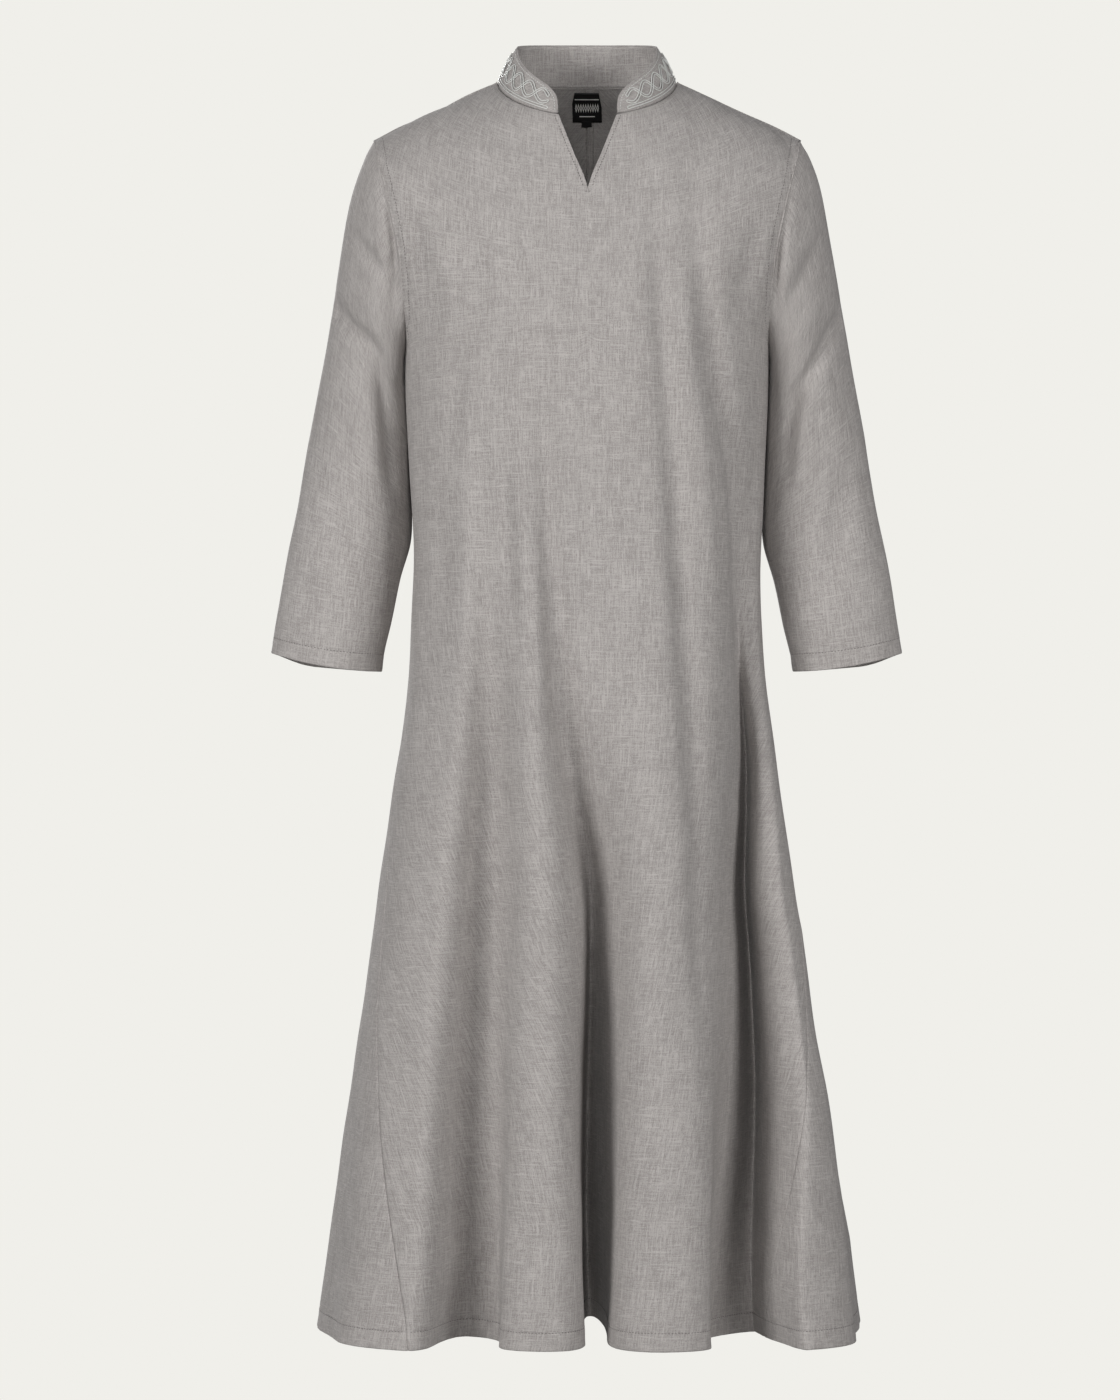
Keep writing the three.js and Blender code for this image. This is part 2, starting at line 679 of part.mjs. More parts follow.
const cloth = () => new THREE.MeshStandardMaterial({ color: 0xa7a29f, roughness: 0.9, metalness: 0 });

const woven = () => new THREE.MeshStandardMaterial({ color: 0x1c1b1b, roughness: 0.6, metalness: 0 });

function piece(name, geometry, material) {
  const mesh = new THREE.Mesh(geometry, material);
  mesh.name = name;
  return mesh;
}

const tunic = new THREE.Group();
tunic.add(piece('front', frontPanel(), cloth()));
tunic.add(piece('back_left', backPanel(true), cloth()));
tunic.add(piece('back_right', backPanel(false), cloth()));
tunic.add(piece('gore_left', gorePanel(true), cloth()));
tunic.add(piece('gore_right', gorePanel(false), cloth()));
tunic.add(piece('sleeve_left', sleeveTube(true), cloth()));
tunic.add(piece('sleeve_right', sleeveTube(false), cloth()));
tunic.add(piece('collar', collarBand(), cloth()));
tunic.add(piece('label', labelPlate(LABEL.width, LABEL.below, LABEL.below + LABEL.length,
  LABEL.gap, LABEL.thickness), woven()));
tunic.add(piece('size_tab', labelPlate(SIZE_TAB.width, LABEL.below + LABEL.length - 1,
  LABEL.below + LABEL.length - 1 + SIZE_TAB.length, LABEL.gap + LABEL.thickness + SEAM_GAP,
  SIZE_TAB.thickness), woven()));

export default tunic;
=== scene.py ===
"""A long grey linen tunic with a short standing collar, a V slit, set-in sleeves and side gores.

The tables hold millimetres in the tunic's own frame: +Z up, the front towards -Y, and the origin at
the height where the shoulder seams meet the neckline. A mesh is in metres.
"""
import logging
import math
from collections.abc import Callable
from dataclasses import dataclass
from enum import Enum
from functools import cached_property

import bmesh
import bpy
import numpy as np
from mathutils import Matrix, Vector
from mathutils.bvhtree import BVHTree


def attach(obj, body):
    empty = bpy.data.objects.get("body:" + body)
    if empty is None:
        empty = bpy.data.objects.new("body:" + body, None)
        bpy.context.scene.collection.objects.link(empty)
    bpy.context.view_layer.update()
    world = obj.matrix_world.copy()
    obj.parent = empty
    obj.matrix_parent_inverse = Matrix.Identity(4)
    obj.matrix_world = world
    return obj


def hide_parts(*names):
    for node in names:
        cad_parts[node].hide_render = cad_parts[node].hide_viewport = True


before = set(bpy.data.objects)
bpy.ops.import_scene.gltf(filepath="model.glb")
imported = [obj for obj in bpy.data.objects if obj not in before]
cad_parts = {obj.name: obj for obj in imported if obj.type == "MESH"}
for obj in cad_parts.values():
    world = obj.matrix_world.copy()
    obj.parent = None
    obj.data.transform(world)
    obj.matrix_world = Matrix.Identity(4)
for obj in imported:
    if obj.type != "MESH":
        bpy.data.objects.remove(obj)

log = logging.getLogger("tunic")
Array = np.ndarray
MM = 0.001
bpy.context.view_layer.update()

# ---------------------------------------------------------------- driving sizes
LENGTH = 1400.0
HEM_DEPTH = 19.0
NECK_HALF_WIDTH = 101.0
SHOULDER_HALF_WIDTH = 240.0
SHOULDER_DROP = 66.0
SHOULDER_FORWARD = 8.0
ARMHOLE_BOTTOM = 305.0
ARMHOLE_FRONT = 76.0
ARMHOLE_BACK = 80.0
SLIT_HALF_WIDTH = 33.0
GORE_TOP = 684.0
GORE_SPREAD = 0.7
FOLD_HIGH_DROP = 680.0
FOLD_MIDDLE_DROP = 940.0
VALLEY_LIFT = 1 / 700
LAYER = 1.0
TURN_UP_RADIUS = 1.1
TOPSTITCH_INSET = 9.5
SLIT_STITCH_INSET = 4.0
SLIT_BAR = 6.6
SLIT_BAR_DROP = 2.5
COLLAR_STITCH_INSET = 3.2
SEAM_DIP = 0.9
SEAM_REACH = 3.0
STITCH_SINK = 0.3
STITCH_SINK_WIDTH = 1.1
HEM_PUCKER_WIDTH = 0.7 * HEM_DEPTH
NECK_DIP_LEVEL = 0.032

# How near the armhole and the neckline creases and ripples come.
ARMHOLE_CALM = 30.0
NECK_CALM_LEVEL = 0.25

# How the columns of a panel gather at its seams and in its deep folds.
SEAM_COLUMNS = np.array([0.0, 0.0022, 0.0048, 0.0085])
FIRST_INNER_COLUMN = 0.014
DENSE_FOLDS = [2, 4, 6]
DENSE_FOLD_WIDTHS = (0.008, 0.014, 0.014)
FOLD_DENSITY = 2.2
PLACE_SAMPLES = np.linspace(-0.1, 1.2, 5201)


class Table:
    """Rows of named sizes, read through a smooth curve that passes every row."""

    def __init__(self, columns: str, rows: list[tuple[float, ...]]) -> None:
        """Stores one array for each column.

        Args:
            columns: The names of the columns, with spaces between them.
            rows: One tuple of sizes for each row.
        """
        values = np.array(rows, float).T
        self.columns = dict(zip(columns.split(), values))

    def __getitem__(self, name: str) -> Array:
        """Returns a whole column."""
        return self.columns[name]

    def at(self, key: str, value: Array, name: str) -> Array:
        """Reads a column between its rows.

        Args:
            key: The column that places the rows.
            value: Where to read, in the key's own units.
            name: The column to read.

        Returns:
            The sizes at those values.
        """
        keys, sizes = self[key], self[name]
        slopes = np.empty_like(sizes)
        slopes[1:-1] = (sizes[2:] - sizes[:-2]) / (keys[2:] - keys[:-2])
        slopes[0] = (sizes[1] - sizes[0]) / (keys[1] - keys[0])
        slopes[-1] = (sizes[-1] - sizes[-2]) / (keys[-1] - keys[-2])
        value = np.asarray(value, float)
        i = np.clip(np.searchsorted(keys, value) - 1, 0, len(keys) - 2)
        span = keys[i + 1] - keys[i]
        t = (value - keys[i]) / span
        t2, t3 = t * t, t * t * t
        return (
            (2 * t3 - 3 * t2 + 1) * sizes[i]
            + (t3 - 2 * t2 + t) * span * slopes[i]
            + (3 * t2 - 2 * t3) * sizes[i + 1]
            + (t3 - t2) * span * slopes[i + 1]
        )


# How far each body ring reaches from the axis; a corner below 1 makes it squarer than an ellipse.
RINGS = Table("drop left right front back corner", [
    (305, 206, 206, 150, 150, 0.90),
    (420, 201, 202, 148, 147, 0.90),
    (525, 196, 197, 147, 145, 0.92),
    (600, 197, 197, 149, 147, 0.94),
    (695, 204, 204, 151, 150, 0.96),
    (808, 220, 219, 152, 152, 0.98),
    (920, 236, 235, 152, 154, 1.00),
    (1033, 252, 252, 152, 155, 1.00),
    (1146, 268, 273, 151, 155, 1.00),
    (1259, 284, 291, 150, 155, 1.00),
    (1400, 305, 308, 150, 155, 1.00),
])

# Folds round the skirt: their places in degrees from the centre front at the hip, the knee and the hem,
# where each begins, how far it stands out at the hem, and how the cloth turns between it and the next.
FOLDS = Table("high middle low top out growth wall roll", [
    (-90, -90, -90, 600, 0, 1.0, 0.60, 0.4),
    (-41, -40, -36, 330, 66, 1.3, 0.50, 1.2),
    (-31, -29, -27.5, 400, -38, 1.3, 0.50, 0.9),
    (-16, -12, -9, 430, 44, 1.3, 0.80, 1.3),
    (-6, 3, 1.5, 420, -95, 1.3, 0.18, 1.0),
    (21, 18.5, 16.5, 400, 52, 1.3, 0.34, 1.1),
    (67, 54.5, 40.5, 330, -38, 1.2, 0.40, 2.4),
    (77, 61, 42.5, 690, 76, 1.3, 0.40, 0.5),
    (90, 90, 90, 600, 0, 1.0, 0.50, 0.0),
    (134, 134, 134, 420, 58, 1.3, 0.50, 0.6),
    (148, 148, 147, 400, -44, 1.3, 0.50, 0.8),
    (161, 161, 163, 380, 48, 1.3, 0.55, 1.1),
    (173, 174, 176, 430, -72, 1.4, 0.45, 1.0),
    (188, 189, 191, 400, 46, 1.3, 0.50, 0.9),
    (203, 204, 205, 380, -52, 1.3, 0.50, 0.8),
    (222, 221, 219, 360, 62, 1.3, 0.50, 0.2),
    (270, 270, 270, 600, 0, 1.0, 0.50, 0.0),
])

# The yoke and chest: level 0 is the neckline, 1 the row through the shoulder point and 2 the foot
# of the armhole.
CENTRE_FRONT = Table("level reach drop sag", [
    (0.0, 98, 49, 1.1),
    (0.5, 112, 91, 1.5),
    (1.0, 127, 134, 1.6),
    (1.5, 145, 215, 1.4),
    (2.0, 150, 305, 1.0),
])
CENTRE_BACK = Table("level reach drop sag", [
    (0.0, 75, -6, 1.0),
    (0.5, 102, 34, 1.5),
    (1.0, 122, 92, 1.7),
    (1.5, 146, 198, 1.5),
    (2.0, 150, 305, 1.0),
])
SHOULDER_SEAM = Table("level side forward drop", [
    (0.0, NECK_HALF_WIDTH, 0, -1),
    (0.2, 126, 1.5, 10),
    (0.5, 165, 4, 29.5),
    (0.8, 207, 6.5, 48.5),
    (1.0, SHOULDER_HALF_WIDTH, SHOULDER_FORWARD, SHOULDER_DROP),
])
ARMHOLE = Table("turn side", [
    (0.0, SHOULDER_HALF_WIDTH),
    (0.2, 234),
    (0.4, 219),
    (0.55, 208),
    (0.75, 203),
    (1.0, 206),
])

# Sleeve sections from the armhole to the cuff: the outer and inner point, the reach to the front
# and back, and how far back the middle lies.
SLEEVE = Table("along outer outer_drop inner inner_drop front back middle", [
    (0, 240, 66, 206, 305, 76, 80, 0),
    (1, 251.5, 85, 209, 316, 77, 80, 4),
    (2, 264, 120, 208, 334, 77, 79, 11),
    (3, 276.5, 183, 205.5, 362, 76, 77, 20),
    (4, 289, 255, 201.8, 400, 73, 73, 28),
    (5, 301.5, 323, 199.5, 440, 70, 69, 31),
    (6, 313.5, 390, 198.3, 480, 66, 65, 31),
    (7, 325, 458, 200, 518, 61, 60, 26),
    (8, 337, 526, 210.5, 560, 56, 55, 18),
    (9, 347.5, 590, 220.5, 610, 51, 50, 11),
    (9.72, 354, 624, 229, 643, 48, 47, 9),
    (10, 357, 641, 232, 662, 47, 46, 8),
])
ARMHOLE_BLEND = 3.0
CUFF_DIP = 5.0
CUFF_SAG = 3.2
CUFF_SAG_TURN = 0.82
CUFF_SAG_WIDTH = 0.07
CUFF_STITCH_SECTION = 9.73
CUFF_STITCH_WIDTH = 0.016
CUFF_PUCKER_SECTION = 9.87
CUFF_PUCKER_WIDTH = 0.18
SLEEVE_HEAD_CALM = 0.45
SLEEVE_HEAD_DIP = 0.12
SLEEVE_SEAM_WIDTH = 0.004
CUFF_STITCH_ROW = -7
CUFF_TURN_UP_ROWS = (-2, -3, -4, -5, -7)

COLLAR = Table("angle height lean", [
    (19, 3, 1),
    (20.2, 13, 4),
    (22, 20.5, 7),
    (25, 26, 9),
    (30, 31, 11),
    (40, 36, 14),
    (52, 39.5, 16),
    (68, 43, 19),
    (90, 46, 22),
    (130, 48, 18),
    (180, 48, 13),
])
COLLAR_FULLNESS = 1.5
COLLAR_END_SPREAD = 0.8


# ---------------------------------------------------------------- small helpers
def ease(share: Array) -> Array:
    """Returns 0 to 1 with a soft start and end."""
    share = np.clip(share, 0.0, 1.0)
    return share * share * (3 - 2 * share)


def signed_power(value: Array, power: Array) -> Array:
    """Returns a power that keeps its base's sign."""
    return np.sign(value) * np.abs(value) ** power


def unit(vectors: Array) -> Array:
    """Returns vectors scaled to length 1."""
    return vectors / np.maximum(np.linalg.norm(vectors, axis=-1, keepdims=True), 1e-12)


def run_along(points: Array, axis: int) -> Array:
    """Returns how far along a grid's rows or columns each point lies.

    Args:
        points: A grid of points.
        axis: 0 to run down the columns, 1 along the rows.

    Returns:
        The distance from the first point of each line.
    """
    steps = np.linalg.norm(np.diff(points, axis=axis), axis=-1)
    pad = [(0, 0), (0, 0)]
    pad[axis] = (1, 0)
    return np.pad(np.cumsum(steps, axis=axis), pad)


# ---------------------------------------------------------------- the surface of the body
class Cut(Enum):
    """Which face of the tunic a panel lies on, -1 in front, and its side of the slit."""

    FRONT_LEFT = (-1, -1)
    FRONT_RIGHT = (-1, 1)
    UNSLIT = (1, 0)

    @property
    def face(self) -> int:
        """The front is -1 and the back is 1."""
        return self.value[0]

    @property
    def half(self) -> int:
        """The side of the slit that the panel lies on, or 0."""
        return self.value[1]


class BodyShape:
    """The surface of the body: a place round the cloth and a level down it give a point.

    A place runs from 0 at the left side over the front, the right side and the back to 1. Levels
    0 to 2 are the yoke and chest, and 2 to 3 the rings from the underarm down to the hem.
    """

    def __init__(self) -> None:
        """Shares the cloth out between the folds by its length at the hem."""
        self.places = np.array([0.0, 1.0])
        low = FOLDS["low"]
        hem = np.full(low.shape, LENGTH)
        crests = self.base_ring(low, hem) + self.base_normal(low, hem) * FOLDS["out"][:, None]
        runs = np.concatenate([[0], np.cumsum(np.linalg.norm(np.diff(crests, axis=0), axis=1))])
        self.places = runs / runs[-1]
        self.side_right = self.places[8]
        self.front_middle = self.place_of_angle(0)
        self.back_middle = self.place_of_angle(180)

    @staticmethod
    def base_ring(degrees: Array, drop: Array) -> Array:
        """Finds the points of the plain rings, before any fold.

        Args:
            degrees: Angles from the centre front.
            drop: Drops below the origin.

        Returns:
            The points in millimetres.
        """
        turn = np.radians(degrees)
        corner = RINGS.at("drop", drop, "corner")
        left, right = RINGS.at("drop", drop, "left"), RINGS.at("drop", drop, "right")
        front, back = RINGS.at("drop", drop, "front"), RINGS.at("drop", drop, "back")
        side = np.where(np.sin(turn) < 0, left, right)
        depth = np.where(np.cos(turn) < 0, back, front)
        x = side * signed_power(np.sin(turn), corner)
        y = -depth * signed_power(np.cos(turn), corner)
        return np.stack([x, y, -drop + 0 * x], axis=-1)

    def base_normal(self, degrees: Array, drop: Array) -> Array:
        """Returns the level normals of the plain rings."""
        step = self.base_ring(degrees + 0.5, drop) - self.base_ring(degrees - 0.5, drop)
        return unit(np.stack([step[..., 1], -step[..., 0], 0 * step[..., 0]], axis=-1))

    @staticmethod
    def fold_angle(i: Array, drop: Array) -> Array:
        """Finds where a fold stands on the ring.

        Args:
            i: The fold's number.
            drop: Drops below the origin.

        Returns:
            Its angle in degrees.
        """
        upper = ease((drop - FOLD_HIGH_DROP) / (FOLD_MIDDLE_DROP - FOLD_HIGH_DROP))
        lower = ease((drop - FOLD_MIDDLE_DROP) / (LENGTH - FOLD_MIDDLE_DROP))
        high, middle, low = FOLDS["high"][i], FOLDS["middle"][i], FOLDS["low"][i]
        return high + (middle - high) * upper + (low - middle) * lower

    @staticmethod
    def fold_growth(i: Array, drop: Array) -> Array:
        """Returns how far fold i has grown at a drop, from 0 to 1."""
        share = np.clip((drop - FOLDS["top"][i]) / (LENGTH - FOLDS["top"][i]), 0, 1)
        return share ** FOLDS["growth"][i]

    def fold_shape(self, place: Array, drop: Array) -> tuple[Array, Array]:
        """Finds where a spot of the cloth lies among the folds.

        Args:
            place: Places round the cloth.
            drop: Drops below the origin.

        Returns:
            The angle round the ring and how far the cloth stands out there.
        """
        place = place - np.floor(place)
        i = np.clip(np.searchsorted(self.places, place, side="right") - 1, 0, len(self.places) - 2)
        t = (place - self.places[i]) / (self.places[i + 1] - self.places[i])
        here, after = self.fold_growth(i, drop), self.fold_growth(i + 1, drop)
        grown = np.maximum(here, after) ** 2
        biased = t + grown * (4 * FOLDS["wall"][i] - 2) * t * (1 - t)
        rolled = grown * FOLDS["roll"][i] * np.sin(2 * np.pi * t) / (2 * np.pi)
        start, end = self.fold_angle(i, drop), self.fold_angle(i + 1, drop)
        swing = (1 - np.cos(np.pi * t)) / 2
        out = FOLDS["out"][i] * here * (1 - swing) + FOLDS["out"][i + 1] * after * swing
        return start + (end - start) * (biased + rolled), out

    def ring_point(self, place: Array, drop: Array) -> Array:
        """Returns points of the folded rings."""
        angle, out = self.fold_shape(place, drop)
        points = self.base_ring(angle, drop) + self.base_normal(angle, drop) * out[..., None]
        points[..., 2] += np.where(out < 0, out**2 * VALLEY_LIFT, 0)
        return points

    @staticmethod
    def shoulder_point(level: Array) -> Array:
        """Finds points of the shoulder seam on the right side.

        Args:
            level: 0 at the neckline and 1 at the shoulder point.

        Returns:
            The points in millimetres.
        """
        side = SHOULDER_SEAM.at("level", level, "side")
        forward = SHOULDER_SEAM.at("level", level, "forward")
        return np.stack([side, -forward, -SHOULDER_SEAM.at("level", level, "drop")], axis=-1)

    @staticmethod
    def armhole_point(turn: Array, face: int) -> Array:
        """Finds points of the right armhole.

        Args:
            turn: 0 at the shoulder point and 1 at the underarm.
            face: -1 in front and 1 behind.

        Returns:
            The points in millimetres.
        """
        angle = np.pi * turn
        reach = ARMHOLE_FRONT if face < 0 else ARMHOLE_BACK
        forward = SHOULDER_FORWARD * (1 + np.cos(angle)) / 2
        fall = SHOULDER_DROP + (ARMHOLE_BOTTOM - SHOULDER_DROP) * (1 - np.cos(angle)) / 2
        side = ARMHOLE.at("turn", turn, "side")
        return np.stack([side, face * reach * np.sin(angle) - forward, -fall], axis=-1)

    def upper_point(self, degrees: Array, level: Array, face: int) -> Array:
        """Returns points of the yoke and chest.

        Args:
            degrees: Angles from the centre front.
            level: Levels, 0 to 2.
            face: -1 in front and 1 behind.

        Returns:
            The points; each row is the part of a ring that lies between its two edges.
        """
        turn = np.radians(degrees)
        centre = CENTRE_FRONT if face < 0 else CENTRE_BACK
        level = np.asarray(level, float)
        edge = np.where(
            (level < 1)[..., None],
            self.shoulder_point(np.minimum(level, 1)),
            self.armhole_point(np.clip(level - 1, 0, 1), face),
        )
        corner = 1 + (RINGS["corner"][0] - 1) * np.clip(level - 1, 0, 1)
        reach = centre.at("level", level, "reach")
        edge_turn = np.arccos(signed_power(face * edge[..., 1] / reach, 1 / corner))
        ring_turn = np.arcsin(np.sin(turn)) * edge_turn / (np.pi / 2)
        share = np.abs(np.cos(turn)) ** centre.at("level", level, "sag")
        x = edge[..., 0] * signed_power(np.sin(ring_turn), corner) / np.sin(edge_turn) ** corner
        y = face * reach * signed_power(np.cos(ring_turn), corner)
        z = edge[..., 2] * (1 - share) - centre.at("level", level, "drop") * share
        return np.stack([x, y, z], axis=-1)

    def slit_angle(self, level: Array) -> Array:
        """Returns the angle of the slit's edge, 0 below its foot."""
        side = self.shoulder_point(np.minimum(level, 1))[..., 0]
        return np.degrees(np.arcsin(SLIT_HALF_WIDTH * np.clip(1 - level, 0, 1) / side))

    def point(self, place: Array, level: Array, cut: Cut) -> Array:
        """Returns points of the body.

        Args:
            place: Places round the cloth.
            level: Levels down the cloth.
            cut: The face and half that a panel lies on.

        Returns:
            The points, in millimetres.
        """
        place, level = np.broadcast_arrays(np.asarray(place, float), np.asarray(level, float))
        ring = self.ring_point(place, np.maximum(drop_of(level), ARMHOLE_BOTTOM))
        top = np.clip(level, 0, 2)
        degrees = self.fold_shape(place, np.full(place.shape, ARMHOLE_BOTTOM))[0]
        if cut.half:
            slit = self.slit_angle(top)
            degrees = cut.half * slit + degrees * (90 - slit) / 90
        upper = self.upper_point(degrees, top, cut.face)
        return np.where((level >= 2)[..., None], ring, upper)

    def normal(self, place: Array, level: Array, cut: Cut) -> Array:
        """Finds the outward normals of the body.

        Args:
            place: Places round the cloth.
            level: Levels down the cloth.
            cut: The face and half that a panel lies on.

        Returns:
            The normals, of length 1.
        """
        place, level = np.broadcast_arrays(np.asarray(place, float), np.asarray(level, float))
        across_step, down_step = 2e-4, 2e-3
        across = (self.point(place + across_step, level, cut)
                  - self.point(place - across_step, level, cut))
        low = np.maximum(level - down_step, np.where(level < 2, 0, 2))
        high = np.where(level < 2, np.minimum(level + down_step, 2 - 1e-6), level + down_step)
        down = self.point(place, high, cut) - self.point(place, low, cut)
        return unit(np.cross(down, across))

    def place_of_angle(self, degrees: float) -> float:
        """Finds the place on the cloth that has a given angle above the folds.

        Args:
            degrees: The angle from the centre front.

        Returns:
            The place, 0 to 1.
        """
        places = np.linspace(0, 1, 20001)
        angles = self.fold_shape(places[:-1], np.full(20000, ARMHOLE_BOTTOM))[0]
        return float(np.interp(degrees, angles, places[:-1]))


def level_of(drop: Array) -> Array:
    """Returns the level of a drop below the underarm."""
    return 2 + (drop - ARMHOLE_BOTTOM) / (LENGTH - ARMHOLE_BOTTOM)


def drop_of(level: Array) -> Array:
    """Returns the drop of a level below the underarm."""
    return ARMHOLE_BOTTOM + (LENGTH - ARMHOLE_BOTTOM) * (level - 2)


BODY = BodyShape()


# ---------------------------------------------------------------- soft creases
CREASE_FADE = 0.6


class View(Enum):
    """The side that a crease is drawn on, as the sign of Y there."""

    FRONT = -1
    BACK = 1


@dataclass(frozen=True)
class Crease:
    """A soft trough, or a ridge where height is above 0, along a line seen from one side."""

    view: View
    path: tuple[tuple[float, float], ...]
    width: float
    height: float

    def lift(self, points: Array) -> Array:
        """Returns how far the crease raises each point, in millimetres.

        Args:
            points: Points in millimetres.

        Returns:
            One height for each point.
        """
        path = np.array(self.path, float)
        runs = np.concatenate([[0], np.cumsum(np.linalg.norm(np.diff(path, axis=0), axis=1))])
        spots = points[..., [0, 2]]
        nearest = np.full(spots.shape[:-1], 1e9)
        along = np.zeros(spots.shape[:-1])
        for i in range(len(path) - 1):
            step = path[i + 1] - path[i]
            t = np.clip(((spots - path[i]) @ step) / (step @ step), 0, 1)
            gap = np.linalg.norm(spots - path[i] - t[..., None] * step, axis=-1)
            closer = gap < nearest
            nearest = np.where(closer, gap, nearest)
            along = np.where(closer, (runs[i] + t * np.linalg.norm(step)) / runs[-1], along)
        fade = np.sin(np.pi * np.clip(along, 0.02, 0.98)) ** CREASE_FADE
        shown = points[..., 1] * self.view.value > 0
        return shown * self.height * fade * np.exp(-((nearest / self.width) ** 2))


def on_both_views(path: tuple[tuple[float, float], ...], width: float,
                  height: float) -> tuple[Crease, Crease]:
    """Returns a crease that is the same in front and behind."""
    return Crease(View.FRONT, path, width, height), Crease(View.BACK, path, width, height)


# Where the right sleeve's inner side lies close to the body, below the armhole.
UNDERARM = ((206, -285), (209, -316), (208, -334), (205, -365), (202, -410))

BODY_CREASES = (
    Crease(View.FRONT, ((-128, -200), (-134, -244), (-146, -356), (-158, -469), (-170, -695)), 15, -3.0),
    Crease(View.FRONT, ((-92, -430), (-86, -520), (-82, -620)), 9, -4.0),
    Crease(View.FRONT, ((-50, -300), (-46, -420), (-42, -520), (-36, -607), (-27, -695), (-13, -782),
                        (-1, -859), (5, -945)), 14, -11.0),
    Crease(View.FRONT, ((-110, -560), (-109, -690), (-111, -782), (-118, -859), (-120, -935),
                        (-125, -1023), (-133, -1110), (-140, -1198), (-144, -1290)), 13, -8.0),
    Crease(View.FRONT, ((-98, -690), (-100, -782), (-106, -859), (-106, -935), (-108, -1023),
                        (-114, -1110), (-122, -1198)), 24, -7.0),
    Crease(View.FRONT, ((-72, -400), (-70, -520), (-68, -640)), 12, 3.0),
    Crease(View.FRONT, ((72, -120), (81, -258), (88, -345), (95, -432), (101, -520), (106, -607),
                        (113, -695), (119, -782), (122, -859), (123, -935), (128, -1023),
                        (131, -1110)), 12, -11.0),
    Crease(View.FRONT, ((100, -230), (112, -345), (127, -432), (135, -520), (142, -607),
                        (140, -720)), 10, 4.5),
    Crease(View.FRONT, ((114, -120), (131, -258), (144, -345), (164, -432), (173, -520), (175, -607),
                        (179, -695), (178, -800)), 13, -12.0),
    Crease(View.FRONT, ((46, -60), (52, -120), (66, -210)), 12, -1.5),
    Crease(View.FRONT, ((-52, -62), (-60, -130), (-76, -220)), 14, -1.3),
    Crease(View.FRONT, ((-2, -140), (-8, -230), (-20, -330)), 16, -1.2),
    Crease(View.FRONT, ((0, -134), (-1, -148), (-3, -170)), 4, -1.2),
    Crease(View.FRONT, ((196, -150), (178, -215), (160, -300)), 12, -2.2),
    Crease(View.FRONT, ((-198, -140), (-182, -210), (-170, -290)), 12, -1.8),
    *on_both_views(((268, -940), (288, -1040), (304, -1125), (318, -1215), (330, -1310)), 45, -10.0),
    Crease(View.BACK, ((-150, -170), (-120, -300), (-112, -520)), 16, -3.0),
    Crease(View.BACK, ((150, -170), (126, -290), (104, -480)), 16, -3.0),
    Crease(View.BACK, ((-60, -60), (-50, -180), (-46, -330)), 18, 1.6),
    Crease(View.BACK, ((70, -70), (62, -190), (58, -330)), 18, 1.6),
    Crease(View.BACK, ((-176, -250), (-150, -300), (-130, -380)), 12, 2.2),
    Crease(View.BACK, ((180, -240), (156, -300), (132, -400)), 12, 2.2),
)
SLEEVE_CREASES = (
    Crease(View.FRONT, ((-217, -130), (-217, -180), (-216, -225), (-216, -270)), 8, -11.0),
    Crease(View.FRONT, ((213, -130), (211, -180), (210, -225), (211, -260)), 7, -9.0),
    *on_both_views(tuple((-side, height) for side, height in UNDERARM), 9, 3.2),
    *on_both_views(UNDERARM, 9, 3.2),
    Crease(View.FRONT, ((-268, -170), (-240, -204), (-214, -239)), 7, -5.5),
    Crease(View.FRONT, ((-296, -238), (-268, -276), (-240, -300), (-214, -335)), 8, -8.5),
    Crease(View.FRONT, ((-240, -310), (-227, -350), (-221, -400), (-219, -460)), 11, -13.0),
    Crease(View.FRONT, ((-270, -225), (-240, -258), (-214, -292)), 10, 2.2),
    Crease(View.FRONT, ((-300, -470), (-262, -520), (-236, -560)), 14, -1.8),
    Crease(View.FRONT, ((292, -252), (260, -312), (226, -372)), 8, -8.5),
    Crease(View.FRONT, ((262, -180), (240, -225), (218, -262)), 8, -4.5),
    Crease(View.FRONT, ((236, -340), (226, -392), (220, -450)), 10, -11.0),
    Crease(View.FRONT, ((274, -225), (250, -268), (222, -310)), 10, 2.2),
    Crease(View.FRONT, ((296, -424), (276, -520), (262, -604)), 18, -6.0),
    Crease(View.BACK, ((-280, -240), (-250, -300), (-226, -380)), 13, -3.2),
    Crease(View.BACK, ((280, -250), (252, -305), (226, -370)), 13, -3.2),
    Crease(View.BACK, ((-310, -430), (-280, -480), (-250, -500)), 13, -2.4),
    Crease(View.BACK, ((312, -420), (282, -470), (252, -492)), 13, -2.4),
)


@dataclass(frozen=True)
class Groove:
    """The floor of a deep fold in front, which goes aside and straight back into the tunic."""

    fold: int
    left_width: float
    right_width: float
    path: tuple[tuple[float, float, float], ...]

    def shift(self, places: Array, points: Array) -> Array:
        """Returns how far the groove moves each point of the cloth.

        Args:
            places: The points' places round the cloth.
            points: The points in millimetres.

        Returns:
            The moves in millimetres.
        """
        heights, sides, depths = np.array(self.path, float).T
        gap = places - BODY.places[self.fold]
        share = np.exp(-((gap / np.where(gap < 0, self.left_width, self.right_width)) ** 2))
        side, depth = (np.interp(-points[..., 2], -heights, sizes) * share for sizes in (sides, depths))
        return np.stack([side, depth, 0 * depth], axis=-1)


